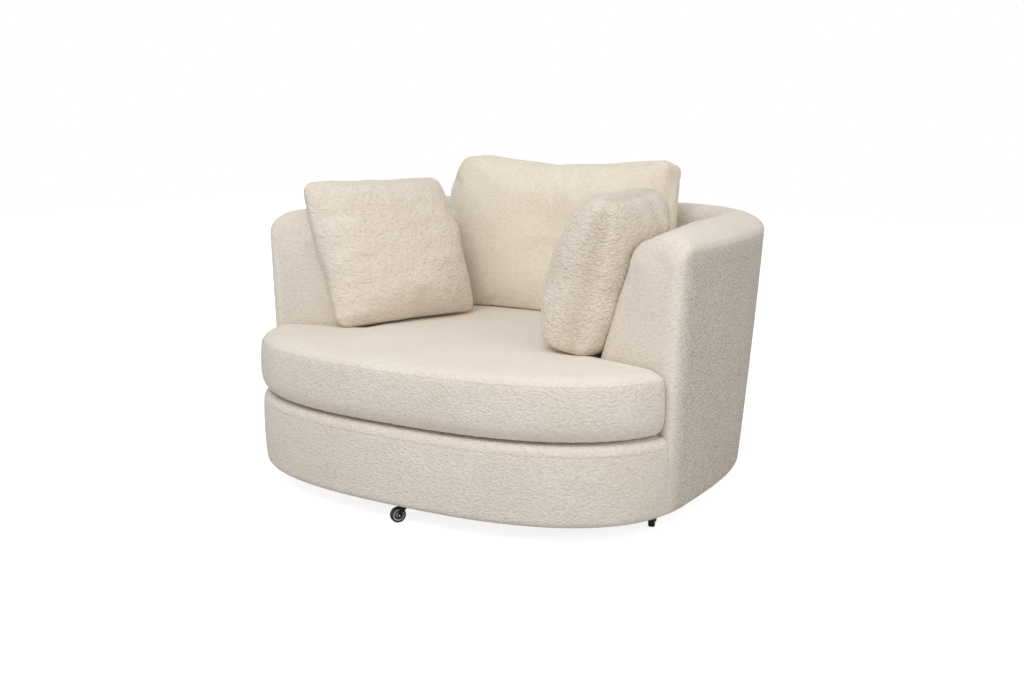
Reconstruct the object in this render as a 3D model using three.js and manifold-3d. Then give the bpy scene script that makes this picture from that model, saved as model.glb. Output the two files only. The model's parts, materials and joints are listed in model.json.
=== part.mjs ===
// Round upholstered armchair for two on casters: plywood frame, sprung seat, stapled covers and loose cushions.
// Millimetres, +Z up, front towards -Y, origin on the floor under the middle of the overall box.
import * as THREE from "three";
import { mergeVertices } from "three/addons/utils/BufferGeometryUtils.js";
import Module from "manifold-3d";

const wasm = await Module();
wasm.setup();

// Plan of the body, measured from its widest line, and its heights
const wellHalfWidth = 375;
const armThickness = 225;
const bodyHalfWidth = wellHalfWidth + armThickness;
const wellBackDepth = 600;
const backWallThickness = 70;
const backDepth = wellBackDepth + backWallThickness;
const frontDepth = 386;
const frontSquareShare = 2.58;
const backSquareShare = 3.14;
const sideFlareShare = 0.043;
const backLeanShare = 0.186;
const skirtHeight = 50;
const deckHeight = 240;
const rimHeight = 703;

// Seat well between the arms
const wellSquareShare = 5;
const wellBendRise = 8.6;
const wellSideFlare = 103;
const wellBackFlare = 55;
const rimWellHalfWidth = wellHalfWidth + wellSideFlare;
const rimWellBackDepth = wellBackDepth + wellBackFlare;
const armFrontOuter = 118;
const armFrontInner = 45;
const shoulderOuterRadius = 40;
const shoulderInnerRadius = 46;
const armTopFrontRadius = 60;
const armInnerFrontRadius = 22;

// Where the wall and the plans have their points
const edgeStepShares = [0, 0.1, 0.3, 0.6, 1];
const wallSteps = 14;
const frontSteps = 9;
const frontPanelShares = Array.from({ length: frontSteps + 1 }, (_, i) => i / frontSteps);
const wellPlanShares = [0.1, 0.25, 0.42, 0.56, 0.66, 0.75, 0.85, 1];
const mitreShare = 0.7;

// Clearances and sheet thicknesses
const seatGap = 0.4;
const facetGap = 2;
const coverThickness = 4;
const foamThickness = 25;
const boardThickness = 18;
const cushionGap = 3;

// Frame
const baseRingWidth = 110;
const deckPadThickness = 5;
const deckHoleSideMargin = 90;
const deckHoleFrontMargin = 121;
const deckHoleBackMargin = 100;
const deckHoleHalfWidth = wellHalfWidth - deckHoleSideMargin;
const deckHoleFront = frontDepth - deckHoleFrontMargin;
const deckHoleBack = wellBackDepth - deckHoleBackMargin;
const deckHoleSquareShare = 3;
const deckHoleSides = 28;
const frontPostX = 210;
const frontPostWidth = 90;
const frontPostDepth = 45;
const armRibY = 30;
const sideRibY = 300;
const backRibX = 200;
const ledgeDepth = 60;
const frontRollRadius = 24;
const deckRingInset = 12;
const deckPadInset = 27;
const dustCoverInset = 100;
const dustCoverThickness = 1.5;
const rimRailDrop = 52;

// Seat springs
const springCount = 5;
const springSideMargin = 49;
const springPitch = (2 * (deckHoleHalfWidth - springSideMargin)) / (springCount - 1);
const springWire = 4;
const springSwing = 22;
const springWave = 50;
const springSeatLength = 22;
const springSides = 5;

// Seat cushion
const seatThickness = 136;
const seatCrown = 20;
const seatEdgeRadius = 30;
const seatOverhang = 6;
const seatBulge = 8;
const seatZipSteps = 3;
const padCoverThickness = 3;
const padCoreGap = 0.6;
const seatTopZ = deckHeight + seatGap + seatThickness;
const wellBendHeight = seatTopZ + wellBendRise;

// Back cushion
const backPadWidth = 646;
const backPadHeight = 460;
const backPadThickness = 136;
const backPadCrown = 20;
const backPadEdgeRadius = 36;
const backPadX = -16;
const backPadFromWellBack = 190;
const backPadFrontY = wellBackDepth - backPadFromWellBack;
const backPadSquareShare = 6;
const backPadDrawShare = 0.012;
const backPadLean = THREE.MathUtils.degToRad(9.5);
const backPadRise = 15.6;

// Scatter cushions
const scatterWidth = 450;
const scatterHeight = 404;
const scatterFrontCrown = 96;
const leftScatterBackCrown = 30;
const rightScatterBackCrown = 58;
const scatterSeam = 7;
const scatterSquareShare = 7;
const scatterDrawShare = 0.05;
const leftScatterFromWell = 78;
const leftScatterX = leftScatterFromWell - wellHalfWidth;
const leftScatterY = 84;
const leftScatterYaw = THREE.MathUtils.degToRad(66);
const leftScatterLean = THREE.MathUtils.degToRad(14);
const rightScatterFromWell = 49;
const rightScatterX = wellHalfWidth - rightScatterFromWell;
const rightScatterY = 112;
const rightScatterYaw = THREE.MathUtils.degToRad(-87);
const rightScatterLean = THREE.MathUtils.degToRad(6);
const leftScatterRise = 3.1;
const rightScatterRise = -4.8;

// Shapes of the cushions: where their rings lie, how their faces swell and how far their zips run
const padPlanPoints = 24;
const padZipSteps = [1, 4];
const crownRingShares = [0.55];
const bandShare = 0.16;
const knifeRingShares = [0.4, 0.72, 0.92, 1];
const knifeRoundShares = [2.6, 0.62];

// Casters
const wheelRadius = 19;
const treadThickness = 4.5;
const wheelWidth = 15;
const wheelTrail = 21;
const casterPlateSize = 40;
const casterPlateThickness = 2.5;
const forkThickness = 2.2;
const forkCrownRadius = 13;
const forkBackShare = 0.7;
const forkAheadShare = 0.85;
const forkEyeWidth = 2.6;
const axleRadius = 2.5;
const axleSides = 10;
const axleStandOut = 1;
const wheelSideGap = 1;
const wheelSides = 16;
const wheelRimShare = 0.9;
const wheelDishShares = [0.75, 0.6];
const frontCasterX = 12;
const frontCasterInset = 45;
const sideCasterInset = 73;
const sideCasterY = 42;
const rearCasterX = 325;
const rearCasterInset = 60;
const casterTrailShares = [-122, -70, 35, 120, 200].map((degrees) => degrees / 180);

// Levels worked out from the sizes above
const baseRingLow = skirtHeight + coverThickness;
const baseRingTop = baseRingLow + boardThickness;
const padTop = deckHeight - coverThickness - seatGap;
const padLow = padTop - deckPadThickness;
const deckRingTop = padLow - springWire - 2 * seatGap;
const deckRingLow = deckRingTop - boardThickness;
const rimRailTop = rimHeight - rimRailDrop + boardThickness;
const rimRailLow = rimHeight - rimRailDrop;
const seamHeight = rimHeight - shoulderOuterRadius;
const frontReach = frontDepth + seatOverhang + seatBulge;
const backReach = backDepth + backLeanShare * (seamHeight - skirtHeight);
const centreY = (backReach - frontReach) / 2;
const rightTurn = Math.PI / 2;

// Finishes
function finish(color, roughness, metalness) {
  return () => new THREE.MeshStandardMaterial({ color, roughness, metalness });
}
const boucle = finish(0xe4dac8, 0.95, 0);
const foam = finish(0xe9e2c4, 0.9, 0);
const plywood = finish(0xc9a877, 0.7, 0);
const felt = finish(0x6f6a63, 0.95, 0);
const dustCloth = finish(0x1c1c1d, 0.9, 0);
const springSteel = finish(0x4c4e52, 0.4, 0.9);
const zincSteel = finish(0xa9adb2, 0.35, 0.9);
const blackSteel = finish(0x17181a, 0.45, 0.6);
const tread = finish(0x1a1a1b, 0.8, 0);
const wheelPlastic = finish(0x9b9c9d, 0.5, 0);
const zipTape = finish(0xd8cdb9, 0.8, 0);

// A point of a rounded plan: a superellipse whose front and back halves have their own depth and squareness.
function planPoint(angle, halfWidth, front, frontSquare, back, backSquare) {
  const ahead = Math.sin(angle) < 0;
  const square = ahead ? frontSquare : backSquare;
  const depth = ahead ? front : back;
  const across = Math.cos(angle);
  const along = Math.sin(angle);
  const x = halfWidth * Math.sign(across) * Math.abs(across) ** (2 / square);
  const y = depth * Math.sign(along) * Math.abs(along) ** (2 / square);
  return new THREE.Vector2(x, y);
}

// Outside of the body at one height: the sides flare and the back leans as it rises.
function outerPoint(angle, z) {
  const rise = Math.max(0, z - skirtHeight);
  const halfWidth = bodyHalfWidth + sideFlareShare * rise;
  const back = backDepth + backLeanShare * rise;
  return planPoint(angle, halfWidth, frontDepth, frontSquareShare, back, backSquareShare);
}

// Inside of the seat well: upright beside the seat cushion, leaning outwards above it.
function wellPoint(angle, z) {
  const rise = Math.max(0, z - wellBendHeight) / (rimHeight - wellBendHeight);
  const halfWidth = wellHalfWidth + (rimWellHalfWidth - wellHalfWidth) * rise;
  const back = wellBackDepth + (rimWellBackDepth - wellBackDepth) * rise;
  return planPoint(angle, halfWidth, frontDepth, frontSquareShare, back, wellSquareShare);
}

// The angle at which a plan curve reaches a depth in front of the widest line.
function angleAtDepth(depth) {
  return -Math.asin((depth / frontDepth) ** (frontSquareShare / 2));
}

// Angles that step evenly along a plan curve, from one angle to another.
function evenAngles(curve, from, to, shares) {
  const samples = 2000;
  const almostShare = 1 - 1e-9;
  const lengths = [0];
  let before = curve(from);
  for (let i = 1; i <= samples; i += 1) {
    const here = curve(from + ((to - from) * i) / samples);
    lengths.push(lengths[i - 1] + here.distanceTo(before));
    before = here;
  }
  const arc = lengths[samples];
  const angles = shares.map((share) => {
    const found = lengths.findIndex((length) => length >= Math.min(1, share) * arc * almostShare);
    return from + ((to - from) * found) / samples;
  });
  return Object.assign(angles, { arc });
}

// Stations of the wall from the front of the right arm round the back to the front of the left arm.
// Each has its distance behind the front of the arm, its angle on both plan curves and its side.
const outerStart = angleAtDepth(armFrontOuter);
const wellStart = angleAtDepth(armFrontInner);
const halfArc = evenAngles((a) => outerPoint(a, skirtHeight), outerStart, rightTurn, [1]).arc;
const edgeDistances = edgeStepShares.map((share) => share * armTopFrontRadius);
const wallRun = halfArc - armTopFrontRadius;
const wallDistances = Array.from({ length: wallSteps }, (_, i) => armTopFrontRadius + (wallRun * (i + 1)) / wallSteps);
const stations = makeStations([...edgeDistances, ...wallDistances]);
const liningStations = makeStations([coverThickness, ...edgeDistances.slice(1), ...wallDistances]);

function makeStations(distances) {
  const shares = distances.map((distance) => distance / halfArc);
  const outerAngles = evenAngles((a) => outerPoint(a, skirtHeight), outerStart, rightTurn, shares);
  const wellAngles = evenAngles((a) => wellPoint(a, deckHeight), wellStart, rightTurn, shares);
  const right = distances.map((behind, i) => ({ behind, outer: outerAngles[i], well: wellAngles[i], side: 1 }));
  const left = right.slice(0, -1).map((station) => ({ ...station, side: -1 }));
  return [...right, ...left.reverse()];
}

function outerAt(station, z) {
  const point = outerPoint(station.outer, z);
  return new THREE.Vector2(point.x * station.side, point.y);
}

function wellAt(station, z) {
  const point = wellPoint(station.well, z);
  return new THREE.Vector2(point.x * station.side, point.y);
}

function inwardAt(station) {
  return wellAt(station, rimHeight).sub(outerAt(station, rimHeight)).normalize();
}

// A point in the wall: so far in from the outside, or so far out from the well.
function fromOuter(station, z, inset) {
  const start = outerAt(station, z);
  const inward = inwardAt(station);
  return new THREE.Vector3(start.x + inward.x * inset, start.y + inward.y * inset, z);
}

function fromWell(station, z, inset) {
  const start = wellAt(station, z);
  const inward = inwardAt(station);
  return new THREE.Vector3(start.x - inward.x * inset, start.y - inward.y * inset, z);
}

// How far a rounded front edge has drawn a face in, at a distance behind the front.
function roundedInset(behind, radius) {
  const left = Math.max(0, radius - behind);
  return radius - Math.sqrt(radius * radius - left * left);
}

function triangle(out, a, b, c) {
  out.push(a.x, a.y, a.z, b.x, b.y, b.z, c.x, c.y, c.z);
}

function quad(out, a, b, c, d) {
  triangle(out, a, b, c);
  triangle(out, a, c, d);
}

function signedVolume(positions) {
  const a = new THREE.Vector3();
  const b = new THREE.Vector3();
  const c = new THREE.Vector3();
  let sum = 0;
  for (let i = 0; i < positions.length; i += 9) {
    a.fromArray(positions, i);
    b.fromArray(positions, i + 3);
    c.fromArray(positions, i + 6);
    sum += a.dot(b.cross(c)) / 6;
  }
  return sum;
}

// Makes a geometry whose faces point outwards from a list of triangle corners.
function solidGeometry(positions) {
  if (signedVolume(positions) < 0) {
    for (let i = 0; i < positions.length; i += 9) {
      for (let k = 0; k < 3; k += 1) {
        [positions[i + k], positions[i + 6 + k]] = [positions[i + 6 + k], positions[i + k]];
      }
    }
  }
  const geometry = new THREE.BufferGeometry();
  geometry.setAttribute("position", new THREE.Float32BufferAttribute(positions, 3));
  return geometry;
}

// A sheet between two grids of points, closed along its four borders.
function sheetGeometry(faceGrid, backGrid) {
  const out = [];
  const rows = faceGrid.length;
  const columns = faceGrid[0].length;
  for (let i = 0; i + 1 < rows; i += 1) {
    for (let j = 0; j + 1 < columns; j += 1) {
      quad(out, faceGrid[i][j], faceGrid[i + 1][j], faceGrid[i + 1][j + 1], faceGrid[i][j + 1]);
      quad(out, backGrid[i][j], backGrid[i][j + 1], backGrid[i + 1][j + 1], backGrid[i + 1][j]);
    }
    const last = columns - 1;
    quad(out, faceGrid[i][0], backGrid[i][0], backGrid[i + 1][0], faceGrid[i + 1][0]);
    quad(out, faceGrid[i][last], faceGrid[i + 1][last], backGrid[i + 1][last], backGrid[i][last]);
  }
  for (let j = 0; j + 1 < columns; j += 1) {
    const end = rows - 1;
    quad(out, faceGrid[0][j], faceGrid[0][j + 1], backGrid[0][j + 1], backGrid[0][j]);
    quad(out, faceGrid[end][j], backGrid[end][j], backGrid[end][j + 1], faceGrid[end][j + 1]);
  }
  return solidGeometry(out);
}

// A closed section carried along a row of stations, with flat ends.
function sweptGeometry(sections) {
  const out = [];
  const count = sections[0].length;
  for (let i = 0; i + 1 < sections.length; i += 1) {
    for (let j = 0; j < count; j += 1) {
      const next = (j + 1) % count;
      quad(out, sections[i][j], sections[i + 1][j], sections[i + 1][next], sections[i][next]);
    }
  }
  const first = sections[0];
  const last = sections[sections.length - 1];
  for (let j = 1; j + 1 < count; j += 1) {
    triangle(out, first[0], first[j], first[j + 1]);
    triangle(out, last[0], last[j + 1], last[j]);
  }
  return solidGeometry(out);
}

// Joining of closed geometries
function toManifold(geometry) {
  const bare = geometry.clone();
  bare.deleteAttribute("normal");
  bare.deleteAttribute("uv");
  const merged = mergeVertices(bare);
  const vertProperties = merged.attributes.position.array;
  const triVerts = new Uint32Array(merged.index.array);
  return new wasm.Manifold(new wasm.Mesh({ numProp: 3, vertProperties, triVerts }));
}

function fromManifold(solid) {
  const mesh = solid.getMesh();
  const geometry = new THREE.BufferGeometry();
  geometry.setAttribute("position", new THREE.BufferAttribute(mesh.vertProperties, 3));
  geometry.setIndex(new THREE.BufferAttribute(mesh.triVerts, 1));
  return geometry;
}

function join(geometry, ...others) {
  return fromManifold(others.reduce((solid, other) => solid.add(toManifold(other)), toManifold(geometry)));
}

function mesh(name, geometry, material) {
  const made = new THREE.Mesh(geometry, material());
  made.name = name;
  return made;
}

// A flat board cut to an outline, with an optional hole, lying between two heights.
function boardGeometry(outline, low, thickness, hole) {
  const shape = new THREE.Shape(outline);
  if (hole) shape.holes.push(new THREE.Path(hole));
  const geometry = new THREE.ExtrudeGeometry(shape, { depth: thickness, bevelEnabled: false });
  return geometry.translate(0, 0, low);
}

// Full outline of the base, front and back, drawn in by an inset.
function baseOutline(inset) {
  const atSkirt = (angle) => outerPoint(angle, skirtHeight);
  const front = evenAngles(atSkirt, -rightTurn, outerStart, frontPanelShares).map(atSkirt);
  const right = stations.filter((station) => station.side > 0 && station.behind >= armTopFrontRadius);
  const wall = right.map((station) => atSkirt(station.outer));
  return insetLoop(mirrored([...front, ...wall]), inset);
}

// A right half outline from the front centre to the back centre, completed by its mirror image.
function mirrored(right) {
  const left = right.slice(1, -1).map((point) => new THREE.Vector2(-point.x, point.y));
  return [...right, ...left.reverse()];
}

// Moves each corner of a loop that runs anticlockwise inwards, by one amount or one for each corner.
function insetLoop(points, inset) {
  const count = points.length;
  return points.map((point, i) => {
    const amount = typeof inset === "number" ? inset : inset[i];
    const before = point.clone().sub(points[(i + count - 1) % count]).normalize();
    const after = points[(i + 1) % count].clone().sub(point).normalize();
    const along = before.clone().add(after).normalize();
    const spread = Math.max(mitreShare, along.dot(before));
    return new THREE.Vector2(point.x - (along.y * amount) / spread, point.y + (along.x * amount) / spread);
  });
}

// Seat plan: the full front of the body with an ear before each arm, then the well between the arms.
const earSlopeShare = (armFrontOuter - armFrontInner) / (bodyHalfWidth - wellHalfWidth);

function earLineY(x) {
  return -armFrontInner - earSlopeShare * (x - wellHalfWidth);
}

function seatPlan(frontInset, earGap, sideGap) {
  const halfWidth = bodyHalfWidth - frontInset;
  const depth = frontDepth - frontInset;
  const front = (angle) => planPoint(angle, halfWidth, depth, frontSquareShare, backDepth, backSquareShare);
  const turnStep = 0.002;
  let tip = outerStart;
  while (front(tip).y > earLineY(front(tip).x) - earGap) tip -= turnStep;
  const frontAngles = evenAngles(front, -rightTurn, tip, frontPanelShares);
  const cornerX = wellHalfWidth - sideGap;
  const corner = new THREE.Vector2(cornerX, earLineY(cornerX) - earGap);
  const back = wellBackDepth - sideGap;
  const well = (angle) => planPoint(angle, cornerX, frontDepth, frontSquareShare, back, wellSquareShare);
  const wellAngles = evenAngles(well, 0, rightTurn, wellPlanShares);
  return mirrored([...frontAngles.map(front), corner, ...wellAngles.map(well)]);
}

// Height of the seam where the outside cover meets the cover of the arm's top: it rolls down at the front.
function seamAt(station) {
  return seamHeight - roundedInset(station.behind, armTopFrontRadius);
}

// One line over the wall at a station, from the outside seam over the top and down the well.
function wallRow(station, depth, low) {
  const behind = station.behind - depth;
  const top = rimHeight - depth - roundedInset(behind, armTopFrontRadius - depth);
  const wellInset = depth + roundedInset(behind, armInnerFrontRadius - depth);
  const outerR = shoulderOuterRadius - depth;
  const innerR = shoulderInnerRadius - depth;
  const diagonal = Math.SQRT1_2;
  const turn = 1 - diagonal;
  return [
    raised(fromOuter(station, seamAt(station), depth), seatGap),
    raised(fromOuter(station, top - outerR, depth + outerR * turn), outerR * diagonal),
    raised(fromOuter(station, top - outerR, depth + outerR), outerR),
    raised(fromWell(station, top - innerR, wellInset + innerR), innerR),
    raised(fromWell(station, top - innerR, wellInset + innerR * turn), innerR * diagonal),
    fromWell(station, top - innerR, wellInset),
    fromWell(station, wellBendHeight, wellInset),
    fromWell(station, low, wellInset),
  ];
}

function raised(point, rise) {
  return new THREE.Vector3(point.x, point.y, point.z + rise);
}

// The upright outer edge of an arm's front face, with as many points as a line over the wall.
function frontEdgeRow(row, station, inset) {
  const top = row[0].z;
  const low = row[row.length - 1].z;
  return row.map((_, i) => fromOuter(station, top + ((low - top) * i) / (row.length - 1), inset));
}

// Cover of the arms' fronts and tops and of the whole inside, sewn in one.
function insidePanel() {
  const low = deckHeight - coverThickness;
  const seamInset = coverThickness + seatGap;
  const face = stations.map((station) => wallRow(station, 0, low));
  const lining = liningStations.map((station) => wallRow(station, coverThickness, low));
  const last = stations.length - 1;
  const faceEnds = [0, last].map((i) => frontEdgeRow(face[i], stations[i], seamInset));
  const liningEnds = [0, last].map((i) => frontEdgeRow(lining[i], liningStations[i], seamInset + coverThickness));
  const faceGrid = [faceEnds[0], ...face, faceEnds[1]];
  const liningGrid = [liningEnds[0], ...lining, liningEnds[1]];
  return mesh("inside_panel", sheetGeometry(faceGrid, liningGrid), boucle);
}

// Cover of the outside, from the skirt to the seam, from one arm's front round the back to the other.
function outsidePanel() {
  const rows = (inset) =>
    stations.map((station) => [skirtHeight, deckHeight, seamAt(station)].map((z) => fromOuter(station, z, inset)));
  return mesh("outside_panel", sheetGeometry(rows(0), rows(coverThickness)), boucle);
}

// Cover of the base's front, rolled over its top edge on to the deck.
function frontPanel() {
  const ledge = ledgeDepth;
  const end = angleAtDepth(armFrontOuter + seatGap);
  const right = evenAngles((a) => outerPoint(a, skirtHeight), -rightTurn, end, frontPanelShares);
  const turns = [...right.slice(1).reverse().map((a) => ({ a, side: -1 })), ...right.map((a) => ({ a, side: 1 }))];
  const row = ({ a, side }, inset) => {
    const radius = frontRollRadius - inset;
    const top = deckHeight - inset;
    const turn = 1 - Math.SQRT1_2;
    return [
      frontPoint(a, side, skirtHeight, inset),
      frontPoint(a, side, top - radius, inset),
      frontPoint(a, side, top - radius * turn, inset + radius * turn),
      frontPoint(a, side, top, inset + radius),
      frontPoint(a, side, top, ledge),
    ];
  };
  const face = turns.map((turn) => row(turn, 0));
  const lining = turns.map((turn) => row(turn, coverThickness));
  return mesh("front_panel", sheetGeometry(face, lining), boucle);
}

function frontPoint(angle, side, z, inset) {
  const nudge = 0.001;
  const at = outerPoint(angle, z);
  const along = outerPoint(angle + nudge, z).sub(outerPoint(angle - nudge, z)).normalize();
  return new THREE.Vector3((at.x - along.y * inset) * side, at.y + along.x * inset, z);
}

function dustCover() {
  const low = baseRingLow - seatGap - dustCoverThickness;
  return mesh("dust_cover", boardGeometry(baseOutline(dustCoverInset), low, dustCoverThickness), dustCloth);
}

// Padding
const foamInset = coverThickness + 2 * facetGap;

function insideFoam() {
  const levels = [padTop + 2 * seatGap, wellBendHeight, rimRailLow - seatGap];
  const run = stations.filter((station) => station.behind >= ribArmDistance);
  const rows = (depth) => run.map((station) => levels.map((z) => fromWell(station, z, depth)));
  return mesh("inside_foam", sheetGeometry(rows(foamInset), rows(foamInset + foamThickness)), foam);
}

function rimFoam() {
  const low = rimRailTop + seatGap;
  const run = stations.filter((station) => station.behind >= ribArmDistance);
  const sections = run.map((station) => {
    const row = wallRow(station, foamInset, low);
    return [pointAtHeight(row[0], row[1], low), ...row.slice(1, 5), pointAtHeight(row[5], row[4], low)];
  });
  return mesh("rim_foam", sweptGeometry(sections), foam);
}

function pointAtHeight(low, high, z) {
  return low.clone().lerp(high, (z - low.z) / (high.z - low.z));
}

function deckPad() {
  const plan = seatPlan(deckPadInset, facetGap, facetGap);
  return mesh("deck_pad", boardGeometry(plan, padLow, deckPadThickness), felt);
}

// Frame
const ribArmDistance = edgeDistances[3];
const ribInset = coverThickness + 4 * facetGap;
const ribWellInset = foamInset + foamThickness + 2 * facetGap;
const railInset = coverThickness + 4 * facetGap;

function baseRing() {
  const inset = coverThickness + facetGap / 2;
  const outline = baseOutline(inset);
  const hole = baseOutline(inset + baseRingWidth);
  return mesh("base_ring", boardGeometry(outline, baseRingLow, boardThickness, hole), plywood);
}

function deckHolePoint(angle) {
  const middle = (deckHoleBack - deckHoleFront) / 2;
  const depth = (deckHoleBack + deckHoleFront) / 2;
  const point = planPoint(angle, deckHoleHalfWidth, depth, deckHoleSquareShare, depth, deckHoleSquareShare);
  return new THREE.Vector2(point.x, point.y + middle);
}

function deckRing() {
  const outline = seatPlan(deckRingInset, facetGap, -foamThickness);
  const hole = Array.from({ length: deckHoleSides }, (_, i) => deckHolePoint((4 * rightTurn * i) / deckHoleSides));
  return mesh("deck_ring", boardGeometry(outline, deckRingLow, boardThickness, hole), plywood);
}

function rimRail() {
  const levels = [rimRailLow, rimRailTop];
  const run = stations.filter((station) => station.behind >= ribArmDistance);
  const outside = run.map((station) => levels.map((z) => fromOuter(station, z, railInset)));
  const inside = run.map((station) => levels.map((z) => fromWell(station, z, railInset)));
  return mesh("rim_rail", sheetGeometry(outside, inside), plywood);
}

// An upright board across the wall, from the base ring to the rim rail: its plan line is either level with
// the front or runs from front to back, and its edges follow the outside and the well.
function rib(name, at, turn, side) {
  const low = baseRingTop + seatGap;
  const high = rimRailLow - seatGap;
  const reach = turn ? backReachAt : sideReachAt;
  const wellReach = turn ? wellBackAt : wellSideAt;
  const outline = [
    new THREE.Vector2(reach(at, low) - ribInset, low),
    new THREE.Vector2(reach(at, high) - ribInset, high),
    new THREE.Vector2(wellReach(at, high) + ribWellInset, high),
    new THREE.Vector2(wellReach(at, wellBendHeight) + ribWellInset, wellBendHeight),
    new THREE.Vector2(wellReach(at, low) + ribWellInset, low),
  ];
  const board = new THREE.ExtrudeGeometry(new THREE.Shape(outline), { depth: boardThickness, bevelEnabled: false });
  board.translate(0, 0, -boardThickness / 2);
  board.rotateX(rightTurn);
  const made = mesh(name, board, plywood);
  if (turn) {
    made.rotation.z = rightTurn;
    made.position.x = side * at;
  } else {
    made.rotation.z = side > 0 ? 0 : 2 * rightTurn;
    made.position.y = at;
  }
  return made;
}

function curveShare(value, size, square) {
  return (1 - (Math.abs(value) / size) ** square) ** (1 / square);
}

function sideReachAt(y, z) {
  const widest = outerPoint(0, z).x;
  return widest * curveShare(y, outerPoint(rightTurn, z).y, backSquareShare);
}

function backReachAt(x, z) {
  return outerPoint(rightTurn, z).y * curveShare(x, outerPoint(0, z).x, backSquareShare);
}

function wellSideAt(y, z) {
  return wellPoint(0, z).x * curveShare(y, wellPoint(rightTurn, z).y, wellSquareShare);
}

function wellBackAt(x, z) {
  return wellPoint(rightTurn, z).y * curveShare(x, wellPoint(0, z).x, wellSquareShare);
}

// Where the base's front edge lies at a distance from the middle.
function frontEdgeY(x) {
  return -frontDepth * curveShare(x, bodyHalfWidth, frontSquareShare);
}

function frontPost(name, side) {
  const height = deckRingLow - baseRingTop - 2 * seatGap;
  const block = new THREE.BoxGeometry(frontPostWidth, frontPostDepth, height);
  const made = mesh(name, block, plywood);
  const ahead = frontEdgeY(frontPostX + frontPostWidth / 2) + coverThickness + facetGap + frontPostDepth / 2 + facetGap;
  made.position.set(side * frontPostX, ahead, baseRingTop + seatGap + height / 2);
  return made;
}

// A zigzag seat spring across the deck ring's hole, from its front edge to its back edge.
function seatSpring(name, x) {
  const share = Math.acos(Math.min(1, Math.abs(x) / deckHoleHalfWidth) ** (deckHoleSquareShare / 2));
  const front = deckHolePoint(-share).y;
  const back = deckHolePoint(share).y;
  const z = deckRingTop + seatGap + springWire / 2;
  const waves = 2 * Math.floor((back - front) / springWave / 2) + 1;
  const points = [new THREE.Vector3(x, front - springSeatLength, z)];
  for (let i = 0; i <= waves; i += 1) {
    const swing = i % 2 === 0 ? springSwing : -springSwing;
    points.push(new THREE.Vector3(x + swing, front + ((back - front) * i) / waves, z));
  }
  points.push(new THREE.Vector3(x, back + springSeatLength, z));
  const curve = new THREE.CatmullRomCurve3(points, false, "centripetal");
  const section = new THREE.Shape(
    Array.from({ length: springSides }, (_, i) => {
      const angle = (4 * rightTurn * i) / springSides;
      return new THREE.Vector2(Math.cos(angle), Math.sin(angle)).multiplyScalar(springWire / 2);
    }),
  );
  const steps = 2 * points.length;
  return mesh(name, new THREE.ExtrudeGeometry(section, { extrudePath: curve, steps, curveSegments: 1 }), springSteel);
}

// Cushions: rings of points from the middle of the underside round the edge to the middle of the top.
function ringAt(plan, centre, share, inset, height) {
  const drawn = insetLoop(plan, inset);
  return drawn.map((point) => {
    const x = centre.x + (point.x - centre.x) * share;
    const y = centre.y + (point.y - centre.y) * share;
    return new THREE.Vector3(x, y, height);
  });
}

// A boxed cushion: flat band with rounded edges and a crowned top and underside.
function boxedRings(form, depth) {
  const { plan, centre, thickness, radius, crownTop, crownLow, bulges } = form;
  const low = depth;
  const top = thickness - depth;
  const corner = radius * (1 - Math.SQRT1_2);
  const all = (amount) => bulges.map(() => amount + depth);
  const rings = [];
  for (const share of crownRingShares) {
    const fall = crownLow * (1 - share * share);
    rings.push(ringAt(plan, centre, share, all(radius), low - fall));
  }
  rings.push(ringAt(plan, centre, 1, all(radius), low));
  rings.push(ringAt(plan, centre, 1, all(corner), low + corner));
  rings.push(ringAt(plan, centre, 1, bulges.map((bulge) => depth - bulge), (low + top) / 2 - thickness * bandShare));
  rings.push(ringAt(plan, centre, 1, bulges.map((bulge) => depth - bulge), (low + top) / 2 + thickness * bandShare));
  rings.push(ringAt(plan, centre, 1, all(corner), top - corner));
  rings.push(ringAt(plan, centre, 1, all(radius), top));
  for (const share of [...crownRingShares].reverse()) {
    const rise = crownTop * (1 - share * share);
    rings.push(ringAt(plan, centre, share, all(radius), top + rise));
  }
  const lowPole = new THREE.Vector3(centre.x, centre.y, low - crownLow);
  const topPole = new THREE.Vector3(centre.x, centre.y, top + crownTop);
  return { rings, lowPole, topPole };
}

// A knife-edge cushion: two crowned faces that meet in a narrow seam.
function knifeRings(form, depth) {
  const { plan, centre, crownTop, crownLow, seam } = form;
  const swell = (share) => (1 - share ** knifeRoundShares[0]) ** knifeRoundShares[1];
  const seamHalf = seam / 2 - (depth * seam) / (seam + 2 * padCoverThickness);
  const height = (crown, share) => (share === 1 ? seamHalf : seam / 2 + (crown - seam / 2) * swell(share) - depth);
  const ring = (crown, side) => (share) => ringAt(plan, centre, share, depth * share, side * height(crown, share));
  const rings = [
    ...knifeRingShares.map(ring(crownLow, -1)),
    ...[...knifeRingShares].reverse().map(ring(crownTop, 1)),
  ];
  const lowPole = new THREE.Vector3(centre.x, centre.y, depth - crownLow);
  const topPole = new THREE.Vector3(centre.x, centre.y, crownTop - depth);
  return { rings, lowPole, topPole };
}

function padTriangles(out, { rings, lowPole, topPole }, inward, opening) {
  const count = rings[0].length;
  const add = (a, b, c) => (inward ? triangle(out, a, c, b) : triangle(out, a, b, c));
  const first = rings[0];
  const last = rings[rings.length - 1];
  for (let j = 0; j < count; j += 1) {
    const next = (j + 1) % count;
    add(lowPole, first[next], first[j]);
    add(topPole, last[j], last[next]);
    for (let k = 0; k + 1 < rings.length; k += 1) {
      if (opening && k === opening.ring && j >= opening.from && j < opening.to) continue;
      add(rings[k][j], rings[k][next], rings[k + 1][next]);
      add(rings[k][j], rings[k + 1][next], rings[k + 1][j]);
    }
  }
}

function padCore(rings) {
  const out = [];
  padTriangles(out, rings, false);
  return solidGeometry(out);
}

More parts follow.
